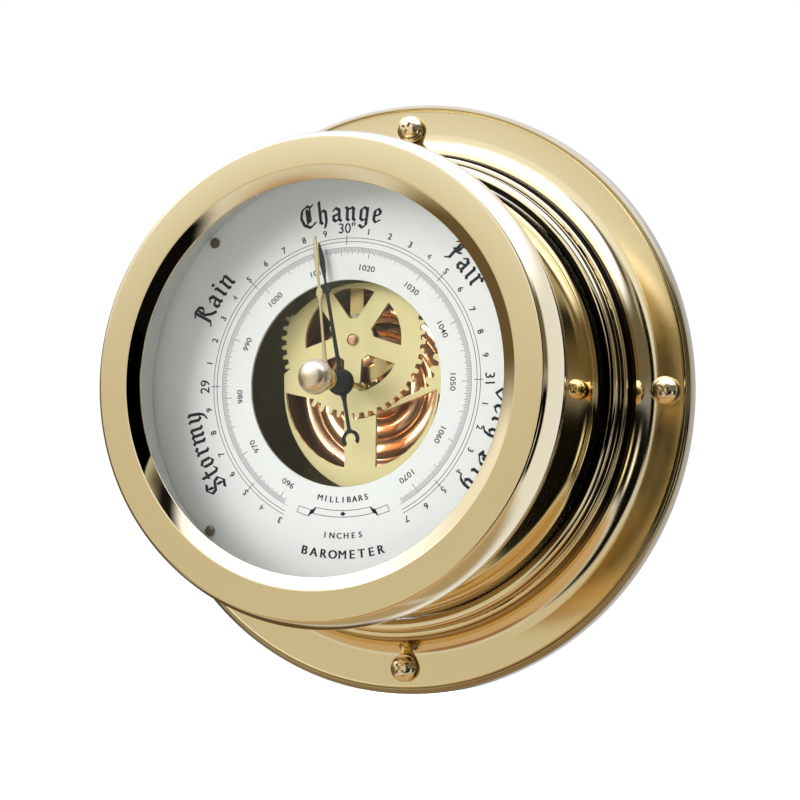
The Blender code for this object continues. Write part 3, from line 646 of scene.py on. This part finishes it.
class Print:
    """Collects flat shapes on the dial and raises them into thin printed solids."""

    def __init__(self):
        self.bm = bmesh.new()

    def polygon(self, points):
        """A convex or simple outline of (x, z) points."""
        if area(points) < 0.0:
            points = list(reversed(points))
        self.shape(points, [list(range(len(points)))])

    def shape(self, points, faces):
        """A flat mesh, raised as one solid."""
        rear, front = PRINT_DEPTH
        low = [self.bm.verts.new(place(x, z, rear)) for x, z in points]
        high = [self.bm.verts.new(place(x, z, front)) for x, z in points]
        sides = {}
        for face in faces:
            self.bm.faces.new([low[i] for i in face])
            self.bm.faces.new([high[i] for i in reversed(face)])
            for a, b in zip(face, face[1:] + face[:1]):
                if (b, a) in sides:
                    del sides[(b, a)]
                else:
                    sides[(a, b)] = True
        for a, b in sides:
            self.bm.faces.new((low[b], low[a], high[a], high[b]))

    def tick(self, degrees, inner, outer, width):
        x, z = on_dial(1.0, degrees)
        side = (z * width / 2, -x * width / 2)
        points = []
        for radius, sign in ((inner, 1), (outer, 1), (outer, -1), (inner, -1)):
            points.append((x * radius + sign * side[0], z * radius + sign * side[1]))
        self.polygon(points)

    def ring(self, radius, width, start, end, steps):
        """An arc line, as one strip."""
        points = []
        for i in range(steps + 1):
            degrees = start + (end - start) * i / steps
            points.append(on_dial(radius - width / 2, degrees))
            points.append(on_dial(radius + width / 2, degrees))
        faces = []
        for a in range(0, 2 * steps, 2):
            faces += [[a, a + 1, a + 2], [a + 2, a + 1, a + 3]]
        self.shape(points, faces)

    def finish(self, name, material):
        add_object(name, self.bm, material, "case", 20.0)


def area(points):
    total = 0.0
    for (x1, z1), (x2, z2) in zip(points, points[1:] + points[:1]):
        total += x1 * z2 - x2 * z1
    return total / 2


def union(polygons):
    """The union of simple polygons, as (points, triangles)."""
    points, faces = [], []
    for polygon in polygons:
        if area(polygon) < 0.0:
            polygon = list(reversed(polygon))
        faces.append(list(range(len(points), len(points) + len(polygon))))
        points += [Vector(p) for p in polygon]
    result = delaunay_2d_cdt(points, [], faces, 1, 1e-5)
    made_points = [tuple(p) for p in result[0]]
    made_faces = []
    for face, sources in zip(result[2], result[5]):
        if not sources:
            continue
        face = list(face)
        if area([made_points[i] for i in face]) < 0.0:
            face.reverse()
        made_faces.append(face)
    return made_points, made_faces


THIN_GLYPHS = "M4"  # their narrow corners close up when they are emboldened
CAPITAL_HEIGHT = 0.73  # of the built-in font at size 1


def text_shape(text, height, weight):
    """Flat triangles of a text line, centred, with capitals of a height, emboldened by weight."""
    curve = bpy.data.curves.new("lettering", "FONT")
    curve.body = text
    curve.align_x = "CENTER"
    curve.size = 1.0
    curve.offset = 0.0 if text in THIN_GLYPHS else weight
    curve.resolution_u = 3
    obj = bpy.data.objects.new("lettering", curve)
    bpy.context.scene.collection.objects.link(obj)
    graph = bpy.context.evaluated_depsgraph_get()
    mesh = bpy.data.meshes.new_from_object(obj.evaluated_get(graph))
    mesh.calc_loop_triangles()
    size = height / CAPITAL_HEIGHT
    points = [(v.co.x * size, v.co.y * size) for v in mesh.vertices]
    faces = [list(t.vertices) for t in mesh.loop_triangles]
    bpy.data.objects.remove(obj, do_unlink=True)
    bpy.data.curves.remove(curve)
    bpy.data.meshes.remove(mesh)
    return points, faces


def on_arc(points, radius, degrees, inward=False):
    """Moves a shape drawn about (0, 0) to a dial angle, upright with its top outward or inward."""
    turn = math.radians(-degrees + (180.0 if inward else 0.0))
    c, s = math.cos(turn), math.sin(turn)
    cx, cz = on_dial(radius, degrees)
    return [(cx + x * c - z * s, cz + x * s + z * c) for x, z in points]


def welded(points, faces):
    """Joins points that share a place, so that a shape closes when it is raised."""
    places, index, kept = {}, [], []
    for x, z in points:
        key = (round(x, 5), round(z, 5))
        if key not in places:
            places[key] = len(kept)
            kept.append((x, z))
        index.append(places[key])
    made = []
    for face in faces:
        face = [index[i] for i in face]
        if len(set(face)) == 3 and abs(area([kept[i] for i in face])) > 1e-9:
            if area([kept[i] for i in face]) < 0.0:
                face.reverse()
            made.append(face)
    return kept, made


def thickened(points, faces, by):
    """A shape whose upright strokes are wider by twice by."""
    polygons = []
    for shift in (-by, by):
        for face in faces:
            polygons.append([(points[i][0] + shift, points[i][1]) for i in face])
    return union(polygons)


def print_text(
    ink, text, height, radius, degrees, inward=False, weight=0.008, stretch=1.0, bold=0.0
):
    """A short label at a dial angle. stretch widens it and bold thickens its upright strokes."""
    points, faces = text_shape(text, height, weight)
    points = [(x * stretch, z - height / 2) for x, z in points]
    points, faces = welded(points, faces)
    if bold:
        points, faces = welded(*thickened(points, faces, bold))
    ink.shape(on_arc(points, radius, degrees, inward), faces)


def print_curved_text(ink, text, height, radius, centre_degrees, spacing, bold):
    """Letters set one by one along an arc below the centre, reading left to right."""
    count = len(text)
    for i, letter in enumerate(text):
        if letter == " ":
            continue
        degrees = centre_degrees + (count / 2 - i - 0.5) * spacing
        print_text(ink, letter, height, radius, degrees, True, bold=bold)


# Broad-nib letters: each is (advance, strokes), in hundredths of the x-height, baseline at 0
MINIM = [[(-10, 94), (6, 80)], [(2, 86), (2, 14)], [(-2, 20), (14, 6)]]


def moved(strokes, shift):
    return [[(x + shift, z) for x, z in stroke] for stroke in strokes]


LETTERS = {
    "a": (92, [
        [(2, 80), (18, 96), (36, 84)], [(0, 46), (0, 16)], [(0, 20), (16, 6), (38, 20)],
        [(0, 42), (40, 56)], [(42, 86), (42, 14)], [(40, 18), (54, 6)],
    ]),
    "e": (78, [
        [(0, 80), (0, 20)], [(0, 20), (16, 4), (42, 20)], [(0, 80), (20, 96), (40, 78), (34, 58)],
        [(4, 44), (34, 58)],
    ]),
    "g": (92, [
        [(0, 80), (0, 20)], [(0, 20), (18, 6), (40, 22)], [(0, 80), (20, 96), (42, 84)],
        [(44, 92), (44, -20)], [(44, -20), (22, -42), (-4, -26)],
    ]),
    "h": (92, [
        [(4, 156), (2, 14)], [(-2, 20), (14, 6)], [(8, 76), (28, 96), (44, 80)],
        [(44, 84), (44, 20), (30, -22)],
    ]),
    "i": (52, MINIM + [[(-2, 128), (8, 120)]]),
    "m": (136, MINIM + moved(MINIM, 44) + moved(MINIM, 88) + [
        [(6, 78), (36, 92)], [(50, 78), (80, 92)],
    ]),
    "n": (94, MINIM + moved(MINIM, 44) + [[(6, 78), (36, 92)]]),
    "o": (88, [
        [(0, 80), (0, 22)], [(0, 22), (20, 4), (42, 22)], [(0, 80), (20, 96), (42, 78)],
        [(42, 80), (42, 22)],
    ]),
    "r": (70, MINIM + [[(6, 78), (22, 92)], [(24, 96), (42, 82)]]),
    "t": (62, [
        [(4, 130), (2, 20)], [(2, 20), (16, 4), (34, 16)], [(-14, 90), (32, 90)],
    ]),
    "y": (90, [
        [(-10, 94), (2, 82), (2, 20)], [(2, 20), (18, 4), (42, 22)], [(34, 94), (46, 84), (44, 10)],
        [(44, 10), (30, -26), (6, -40)],
    ]),
    "C": (126, [
        [(62, 150), (20, 130), (2, 80), (16, 28), (56, 2), (98, 24)],
        [(62, 150), (80, 134), (100, 146)], [(52, 126), (44, 34)], [(70, 120), (64, 44)],
    ]),
    "D": (130, [
        [(0, 136), (24, 146), (70, 136), (98, 86), (80, 30), (40, 2), (6, 20)],
        [(30, 130), (26, 22)], [(50, 120), (48, 36)],
    ]),
    "F": (102, [
        [(0, 130), (24, 146), (60, 130), (92, 148)], [(30, 134), (26, 14), (2, 0)],
        [(12, 84), (36, 74), (72, 86)], [(50, 120), (48, 90)],
    ]),
    "R": (126, [
        [(0, 134), (26, 146), (74, 134), (80, 102), (42, 78)], [(26, 136), (22, 14), (0, 2)],
        [(42, 78), (72, 30), (100, 6)], [(48, 124), (46, 90)],
    ]),
    "S": (116, [
        [(86, 130), (50, 148), (12, 124), (20, 90), (74, 64), (84, 30), (46, 2), (2, 20)],
        [(50, 128), (46, 100)], [(44, 56), (42, 24)],
    ]),
    "V": (122, [
        [(0, 130), (18, 146), (22, 40), (50, 2), (88, 40)], [(88, 40), (92, 110), (66, 146)],
        [(50, 130), (50, 50)],
    ]),
}
NIB_WIDTH = 0.19  # in x-heights, as are the next three
NIB_THICKNESS = 0.045
WORD_GAP = 0.6
FIRST_STROKE = 0.14  # from a letter's left edge
LETTER_SPACING = 1.08
NIB_ANGLE = math.radians(38.0)


def nib_polygons(stroke):
    """The shapes a broad nib leaves as it moves along a stroke, in x-heights."""
    along = Vector((math.cos(NIB_ANGLE), math.sin(NIB_ANGLE))) * NIB_WIDTH / 2
    across = Vector((-math.sin(NIB_ANGLE), math.cos(NIB_ANGLE))) * NIB_THICKNESS
    corners = [along + across, -along + across, -along - across, along - across]
    shapes = []
    points = [Vector((x / 100, z / 100)) for x, z in stroke]
    for a, b in zip(points, points[1:]):
        cloud = [a + c for c in corners] + [b + c for c in corners]
        shapes.append(hull([tuple(p) for p in cloud]))
    return shapes


def hull(points):
    """The convex hull of points, anticlockwise."""
    points = sorted(set(points))

    def half(ordered):
        chain = []
        for p in ordered:
            while len(chain) > 1:
                (ax, az), (bx, bz) = chain[-2], chain[-1]
                if (bx - ax) * (p[1] - az) - (bz - az) * (p[0] - ax) > 1e-12:
                    break
                chain.pop()
            chain.append(p)
        return chain[:-1]

    return half(points) + half(list(reversed(points)))


def print_word(ink, word, x_height, base_radius, centre_degrees):
    """A word in broad-nib letters round the dial, with its letters' tops outward."""
    widths = [WORD_GAP if i == " " else LETTER_SPACING * LETTERS[i][0] / 100 for i in word]
    total = sum(widths) * x_height
    middle_radius = base_radius + x_height / 2
    travelled = 0.0
    for letter, width in zip(word, widths):
        advance = width * x_height
        if letter != " ":
            shapes = []
            for stroke in LETTERS[letter][1]:
                shapes += nib_polygons(stroke)
            points, faces = union(shapes)
            centre = width / 2 - FIRST_STROKE
            points = [((x - centre) * x_height, z * x_height) for x, z in points]
            degrees = math.degrees((travelled + advance / 2 - total / 2) / middle_radius)
            ink.shape(on_arc(points, base_radius, centre_degrees + degrees), faces)
        travelled += advance


SCALE_END = 153.5
TOP_INCHES = 30.0
DEGREES_PER_INCH = 90.0
TOP_MILLIBARS = 1015.92
DEGREES_PER_MILLIBAR = 2.6577


def print_inch_scale(ink):
    for radius in (35.85, 34.95):
        ink.ring(radius, 0.13, -SCALE_END, SCALE_END, 150)
    for tenth in range(283, 318):
        degrees = (tenth / 10 - TOP_INCHES) * DEGREES_PER_INCH
        digit = tenth % 10
        if tenth % 5 == 0:
            ink.tick(degrees, 34.2, 36.6, 0.16)
        if digit == 0:
            label = f"{tenth // 10}" + ('"' if tenth == 300 else "")
            print_text(ink, label, 2.6, 38.4, degrees)
        else:
            print_text(ink, str(digit), 1.6, 37.6, degrees, weight=0.02)


def print_millibar_scale(ink, grey):
    quarters = range(4 * 959, 4 * 1073 + 1)
    for quarter in quarters:
        degrees = (quarter / 4 - TOP_MILLIBARS) * DEGREES_PER_MILLIBAR
        if abs(degrees) > SCALE_END:
            continue
        if quarter % 40 == 0:
            ink.tick(degrees, 31.0, 33.4, 0.13)
            print_text(ink, f"{quarter // 4}", 1.5, 28.7, degrees, stretch=1.15)
        elif quarter % 20 == 0:
            ink.tick(degrees, 31.4, 33.4, 0.11)
        else:
            grey.tick(degrees, 31.9 if quarter % 4 == 0 else 32.3, 33.4, 0.12)
    grey.ring(33.5, 0.09, -SCALE_END, SCALE_END, 150)


# The scroll ribbon's flat parts: dial angle from and to, inner and outer radius
RIBBON_PARTS = (
    (166.0, 194.0, 31.3, 32.9), (158.5, 164.5, 32.2, 33.8), (195.5, 201.5, 32.2, 33.8),
)
RIBBON_FOLD = ((31.3, 13.0), (32.9, 14.2), (33.8, 16.2), (32.2, 15.6))
RIBBON_MARK = ((31.5, 180.0), (32.1, 181.4), (32.7, 180.0), (32.1, 178.6))


def print_ribbon(ink):
    """A plain scroll ribbon below the movement opening."""
    for start, end, inner, outer in RIBBON_PARTS:
        ink.ring(inner, 0.14, start, end, 14)
        ink.ring(outer, 0.14, start, end, 14)
        ink.tick(start, inner, outer, 0.14)
        ink.tick(end, inner, outer, 0.14)
    for side in (-1, 1):
        ink.polygon([on_dial(radius, 180 + side * degrees) for radius, degrees in RIBBON_FOLD])
    ink.polygon([on_dial(radius, degrees) for radius, degrees in RIBBON_MARK])


WEATHER_WORDS = {
    "Stormy": -113.0, "Rain": -58.0, "Change": -2.0, "Fair": 49.0, "Very Dry": 111.0,
}


def make_dial_print():
    ink = Print()
    grey = Print()
    print_inch_scale(ink)
    print_millibar_scale(ink, grey)
    print_ribbon(ink)
    for word, degrees in WEATHER_WORDS.items():
        print_word(ink, word, 3.7, 40.0, degrees)
    print_curved_text(ink, "MILLIBARS", 1.5, 28.6, 180.0, 3.1, 0.05)
    print_curved_text(ink, "INCHES", 1.5, 37.4, 180.0, 2.9, 0.05)
    print_curved_text(ink, "BAROMETER", 2.2, 42.0, 180.0, 3.5, 0.09)
    ink.finish("dial_printing", M["ink"])
    grey.finish("dial_fine_graduations", M["grey_ink"])


# ------------------------ hands


LEAF_STEPS = 8


def mirrored_blade(side):
    """A symmetrical outline from (half width, distance) points up the right side."""
    return list(side) + [(-x, z) for x, z in reversed(side)]


def spade(start, end, narrow, wide):
    """One side of a leaf-shaped swelling along a hand."""
    points = []
    for i in range(LEAF_STEPS + 1):
        t = i / LEAF_STEPS
        swell = math.sin(math.pi * t**1.3) ** 1.4
        points.append((narrow + (wide - narrow) * swell, start + (end - start) * t))
    return points


def make_indicator_hand():
    side = [(0.5, 3.2), (0.36, 22.4), (0.7, 22.7), (1.05, 22.9), (1.15, 23.5), (1.05, 24.1)]
    side += [(0.6, 24.4), (0.42, 24.8)]
    side += spade(25.0, 35.0, 0.2, 0.72)
    side += [(0.1, 35.2)]
    outline = mirrored_blade(side)
    outline += arc((0.0, 0.0), 3.3, 104.0, 256.0, 20)
    moon = (0.0, -14.2)
    outline += [(-0.5, -4.5), (-0.4, -8.0), (-0.42, -11.6), (-0.7, -12.0)]
    outline += arc(moon, 2.3, 108.0, 222.0, 14)
    outline += arc(moon, 1.4, 216.0, -36.0, 20)
    outline += arc(moon, 2.3, -42.0, 72.0, 14)
    outline += [(0.7, -12.0), (0.42, -11.6), (0.4, -8.0), (0.5, -4.5)]
    outline += arc((0.0, 0.0), 3.3, -76.0, 76.0, 20)
    points = on_arc(outline, 0.0, HAND_ANGLE)
    plate(
        "indicator_hand_blade",
        "indicator_hand",
        points, [], 46.2, 46.7, "black", "needle", 0.1,
    )
    lathe(
        "hand_hub_turned",
        "hand_hub",
        [(0.0, 47.0), (3.3, 47.0, 0.1), (3.3, 47.5, 0.3), (2.9, 47.95, 0.4), (0.0, 48.1)],
        "black", "needle", 64,
    )


def make_set_hand():
    side = [(1.2, 2.2), (0.6, 4.0), (0.42, 7.0), (0.36, 18.8)]
    side += spade(19.0, 22.6, 0.36, 0.9)
    side += spade(22.8, 35.4, 0.3, 0.62)
    outline = mirrored_blade(side) + arc((0.0, 0.0), 2.6, 125.0, 415.0, 36)
    points = on_arc(outline, 0.0, SET_HAND_ANGLE)
    hole = arc((0.0, 0.0), 1.3, 0.0, 360.0, 32)[:-1]
    plate("set_hand_blade", "set_hand", points, [hole], 55.0, 55.5, "mirror", "set_hand", 0.12)
    lathe(
        "set_knob_turned",
        "set_knob",
        [
            (0.0, 54.4), (0.9, 54.4, 0.1), (0.9, 60.1, 0.1), (3.3, 60.1, 0.3), (3.5, 60.8, 0.2),
            (4.3, 60.9, 0.3), (4.3, 62.3, 0.4), (3.9, 63.2, 0.5), (3.1, 64.4, 1.4),
            (0.9, 65.0, 0.9), (0.0, 65.05),
        ],
        "pearl", "set_hand", 96,
    )
    lathe(
        "set_hand_bush_turned",
        "set_hand_bush",
        [(2.6, 55.9, 0.15), (2.6, 57.4, 0.15), (1.15, 57.4, 0.1), (1.15, 55.9, 0.1)],
        "brass", "case", 64,
    )


# ------------------------ movement


# The ridges of the capsule's front, in millimetres
RIDGE_ENDS = (5.0, 22.4)
RIDGE_PITCH = 5.2
VALLEY_RADIUS = 7.0
RIDGE_MIDDLE = 23.35
RIDGE_SWING = 0.5
SHEET = 0.35
RIDGE_STEPS = 96


def make_capsule():
    """The corrugated capsule: its front lies between the case and the rising post."""
    top = [(0.0, 24.6), (3.4, 24.6), (4.4, 24.3)]
    inner, outer = RIDGE_ENDS
    for i in range(RIDGE_STEPS + 1):
        radius = inner + (outer - inner) * i / RIDGE_STEPS
        ridge = abs(math.sin(math.pi * (radius - VALLEY_RADIUS) / RIDGE_PITCH)) ** 0.75
        top.append((radius, RIDGE_MIDDLE + RIDGE_SWING * (2.0 * ridge - 1.0)))
    top += [(22.8, 22.7), (23.3, 22.5), (25.2, 22.5)]
    under = [(radius, depth - SHEET) for radius, depth in reversed(top)]
    bm = bmesh.new()
    spin(bm, top + under, ROUND)
    front = add_object("capsule_front_pressed", bm, M["copper"], None, 50.0)
    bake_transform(front)
    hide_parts("capsule_front_diaphragm")
    lathe(
        "capsule_rear_pressed",
        "capsule_rear_diaphragm",
        [
            (0.0, 19.6), (6.0, 19.6, 1.0), (9.0, 20.4, 1.0), (14.0, 20.0, 1.5), (19.0, 20.6, 1.5),
            (22.6, 20.8, 0.8), (22.9, 21.5, 0.3), (25.2, 21.5, 0.1), (25.2, 21.85, 0.1),
            (22.6, 21.85, 0.3), (22.3, 21.1, 0.6), (19.0, 20.95, 1.5), (14.0, 20.35, 1.5),
            (9.0, 20.75, 1.0), (6.0, 19.95, 1.0), (0.0, 19.95),
        ],
        "copper",
    )
    lathe(
        "wheel_rivet_turned",
        "wheel_rivet",
        [(0.0, 35.1), (1.5, 35.1, 0.1), (1.45, 35.45, 0.25), (0.9, 35.68, 0.3), (0.0, 35.7)],
        "copper", "case", SMALL, WHEEL,
    )


# The CAD nodes that stay in sight: material, bevel in millimetres, nodes
KEPT_NODES = (
    ("gilt", 0.12, ("bridge_plate",)),
    # The dark olive on the movement base and the dial ring is painted shade.
    ("dark", 0.15, ("movement_base",)),
    ("dark", 0.2, ("dial_ring",)),
    ("brass", 0.08, ("sector", "sector_cock", "link", "capsule_lever", "drive_arm")),
    ("brass", 0.1, ("shaft_bracket_lower", "shaft_bracket_upper", "arbor_cock")),
    ("brass", 0.06, ("cock_post_left", "cock_post_right", "hairspring_stud", "capsule_post")),
    ("brass", 0.05, ("adjusting_screw", "rocking_shaft", "hand_arbor", "capsule_stud")),
    ("steel", 0.05, ("regulating_bar", "bar_screw", "sector_stud", "sector_pin")),
    ("steel", 0.0, ("hairspring", "capsule_spring")),
)


def dress_frame_nodes():
    for material, bevel, nodes in KEPT_NODES:
        restyle(nodes, material, bevel)


# ------------------------ studio


def direction_angles(tree):
    """Azimuth from the instrument's front, positive to its right, and elevation, in degrees."""
    coordinates = tree.nodes.new("ShaderNodeTexCoord").outputs["Generated"]
    x, y, z = split_axes(tree, coordinates)
    azimuth = math_node(tree, "ARCTAN2", x, math_node(tree, "MULTIPLY", y, -1.0))
    elevation = math_node(tree, "ARCSINE", z)
    return [math_node(tree, "MULTIPLY", a, 180.0 / math.pi) for a in (azimuth, elevation)]


def window(tree, value, low, high, softness):
    """1 where value is between low and high, fading to 0 over softness."""
    rise = smooth_step(tree, value, low - softness, low + softness)
    fall = smooth_step(tree, value, high + softness, high - softness)
    return math_node(tree, "MULTIPLY", rise, fall)


# Each card: azimuth from and to, elevation from and to, softness, colour. Later cards cover
# earlier ones.
STUDIO_CARDS = (
    (-181, 181, -95, -36, 8, (0.44, 0.36, 0.26)),
    (-115, 115, -95, -36, 8, (0.60, 0.43, 0.27)),
    (-181, 181, -95, -66, 10, (0.60, 0.43, 0.27)),
    (-68, 4, -30, 46, 8, (0.66, 0.62, 0.54)),
    (-110, -52, -30, 22, 7, (0.14, 0.10, 0.055)),
    (-74, 6, 9, 40, 6, (1.0, 1.02, 1.10)),
    (-52, -34, 22, 38, 3, (4.0, 4.0, 4.0)),
    (-181, 181, 36, 95, 13, (1.9, 2.05, 2.9)),
    (8, 112, 2, 34, 7, (0.15, 0.125, 0.085)),
    (8, 112, -30, 2, 4, (0.004, 0.004, 0.004)),
    (0, 30, -30, -14, 4, (0.004, 0.004, 0.004)),
    (0, 34, 28, 34, 2, (0.01, 0.01, 0.01)),
    (8, 30, 19, 25, 2, (0.5, 0.5, 0.48)),
    (57, 73, -25, -10, 6, (1.3, 1.3, 1.35)),
    (-163, -105, -34, 1, 4, (0.12, 0.075, 0.03)),
    (-28, 6, -54, -38, 4, (0.32, 0.18, 0.10)),
)
STUDIO_BASE = (0.88, 0.93, 1.15)
STUDIO_MATT = (0.53, 0.525, 0.485)  # the even light that matt surfaces see
WHITE = (1.0, 1.0, 1.0)


def make_world():
    """White to the camera, soft and even to matt surfaces, a studio of cards to polished ones."""
    world = bpy.data.worlds.new("studio")
    bpy.context.scene.world = world
    world.use_nodes = True
    tree = world.node_tree
    tree.nodes.clear()
    azimuth, elevation = direction_angles(tree)
    colour = None
    for az_low, az_high, el_low, el_high, softness, shade in STUDIO_CARDS:
        across = window(tree, azimuth, az_low, az_high, softness)
        upward = window(tree, elevation, el_low, el_high, softness)
        share = math_node(tree, "MULTIPLY", across, upward)
        colour = mix_colour(tree, share, colour or STUDIO_BASE, shade)
    path = tree.nodes.new("ShaderNodeLightPath")
    even = mix_colour(tree, path.outputs["Is Diffuse Ray"], colour, STUDIO_MATT)
    seen = mix_colour(tree, path.outputs["Is Camera Ray"], even, WHITE)
    background = add_node(tree, "Background", {"Color": seen})
    add_node(tree, "OutputWorld", {"Surface": background.outputs[0]})


# Each lamp: place and side in metres, power in watts, colour
LAMPS = {
    "copper_lamp": ((-0.42, -0.72, 0.10), 0.5, 12.0, (1.0, 0.97, 0.90)),
    "plate_lamp": ((0.1, -0.9, 0.1), 0.3, 7.0, (1.0, 0.97, 0.9)),
    "key_light": ((-0.64, -0.88, 0.48), 0.9, 17.0, (1.0, 0.995, 0.98)),
    "fill_light": ((0.2, -1.0, -0.55), 0.9, 5.0, (0.98, 0.99, 1.0)),
}


def add_lamp(name, place_m, side, power, colour):
    """A square lamp that faces the instrument and does not show in it."""
    light = bpy.data.lights.new(name, "AREA")
    light.shape = "RECTANGLE"
    light.size = side
    light.size_y = side
    light.energy = power
    light.color = colour
    lamp = bpy.data.objects.new(name, light)
    lamp.location = place_m
    lamp.rotation_mode = "QUATERNION"
    lamp.rotation_quaternion = Vector(place_m).to_track_quat("Z", "Y")
    lamp.visible_glossy = False
    bpy.context.scene.collection.objects.link(lamp)
    return lamp


def link_lamp(lamp, piece, state):
    """INCLUDE makes a lamp light only this piece, and EXCLUDE keeps it off the piece."""
    linked = bpy.data.collections.new(lamp.name + "_pieces")
    linked.objects.link(piece)
    lamp.light_linking.receiver_collection = linked
    linked.collection_objects[0].light_linking.link_state = state


def make_lights():
    """Two soft lamps, and two small ones for the capsule and the bridge plate alone."""
    lamps = {name: add_lamp(name, *values) for name, values in LAMPS.items()}
    capsule = bpy.data.objects["capsule_front_pressed"]
    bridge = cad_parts["bridge_plate"]
    lamps["copper_lamp"].visible_glossy = True
    link_lamp(lamps["copper_lamp"], capsule, "INCLUDE")
    link_lamp(lamps["plate_lamp"], bridge, "INCLUDE")
    link_lamp(lamps["key_light"], bridge, "EXCLUDE")


BLACK_CARD = (95.0, 330.0, -60.0, 290.0)  # left, right, bottom and top, in millimetres
BLACK_CARD_DEPTH = 760.0
FLOOR_HEIGHT = -0.13
FLOOR_RADIUS = 9.0
FLOOR_GLOW = 0.75


def make_black_card():
    """A black card beside the camera, seen only in reflections."""
    bm = bmesh.new()
    left, right, bottom, top = BLACK_CARD
    corners = ((left, bottom), (right, bottom), (right, top), (left, top))
    bm.faces.new([bm.verts.new(place(x, z, BLACK_CARD_DEPTH)) for x, z in corners])
    material, _, shader = new_material("black_card")
    shader.inputs["Base Color"].default_value = (0.0, 0.0, 0.0, 1.0)
    shader.inputs["Specular IOR Level"].default_value = 0.0
    card = add_object("black_card", bm, material, None)
    card.visible_camera = False
    card.visible_diffuse = False
    card.visible_shadow = False


def make_floor():
    bm = bmesh.new()
    bmesh.ops.create_circle(bm, cap_ends=True, segments=96, radius=FLOOR_RADIUS)
    bmesh.ops.translate(bm, verts=bm.verts, vec=(0.0, 0.0, FLOOR_HEIGHT))
    material, tree, shader = new_material("pale_floor")
    grey = mix_colour(tree, noise(tree, 3.0), (0.96, 0.96, 0.96), WHITE)
    tree.links.new(grey, shader.inputs["Base Color"])
    shader.inputs["Roughness"].default_value = 0.9
    shader.inputs["Emission Color"].default_value = (*WHITE, 1.0)
    shader.inputs["Emission Strength"].default_value = FLOOR_GLOW
    floor = add_object("pale_floor", bm, material, None)
    floor.visible_glossy = False
    floor.visible_diffuse = False


def make_camera():
    azimuth = math.radians(CAMERA_AZIMUTH)
    elevation = math.radians(CAMERA_ELEVATION)
    roll = math.radians(CAMERA_ROLL)
    flat = Vector((math.sin(azimuth), -math.cos(azimuth), 0.0))
    back = flat * math.cos(elevation) + Vector((0.0, 0.0, math.sin(elevation)))
    right = Vector((math.cos(azimuth), math.sin(azimuth), 0.0))
    up = back.cross(right)
    rolled_right = right * math.cos(roll) + up * math.sin(roll)
    rolled_up = up * math.cos(roll) - right * math.sin(roll)
    turn = Matrix((rolled_right, rolled_up, back)).transposed()
    data = bpy.data.cameras.new("camera")
    data.lens = CAMERA_LENS
    data.sensor_width = 36.0
    camera = bpy.data.objects.new("camera", data)
    camera.matrix_world = Matrix.Translation(CAMERA_TARGET + back * CAMERA_DISTANCE) @ turn.to_4x4()
    bpy.context.scene.collection.objects.link(camera)
    bpy.context.scene.camera = camera


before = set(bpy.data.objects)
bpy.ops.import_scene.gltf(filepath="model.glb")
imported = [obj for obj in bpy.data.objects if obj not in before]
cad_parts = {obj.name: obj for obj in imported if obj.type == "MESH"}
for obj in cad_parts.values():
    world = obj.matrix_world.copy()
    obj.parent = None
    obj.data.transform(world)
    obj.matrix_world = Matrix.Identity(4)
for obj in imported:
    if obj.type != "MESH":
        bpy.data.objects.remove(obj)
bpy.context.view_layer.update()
M = make_materials()
make_case()
make_screws()
make_posts()
make_dial()
make_dial_print()
make_indicator_hand()
make_set_hand()
make_capsule()
dress_frame_nodes()
make_world()
make_lights()
make_floor()
make_black_card()
make_camera()
bpy.context.scene.view_settings.view_transform = "Standard"
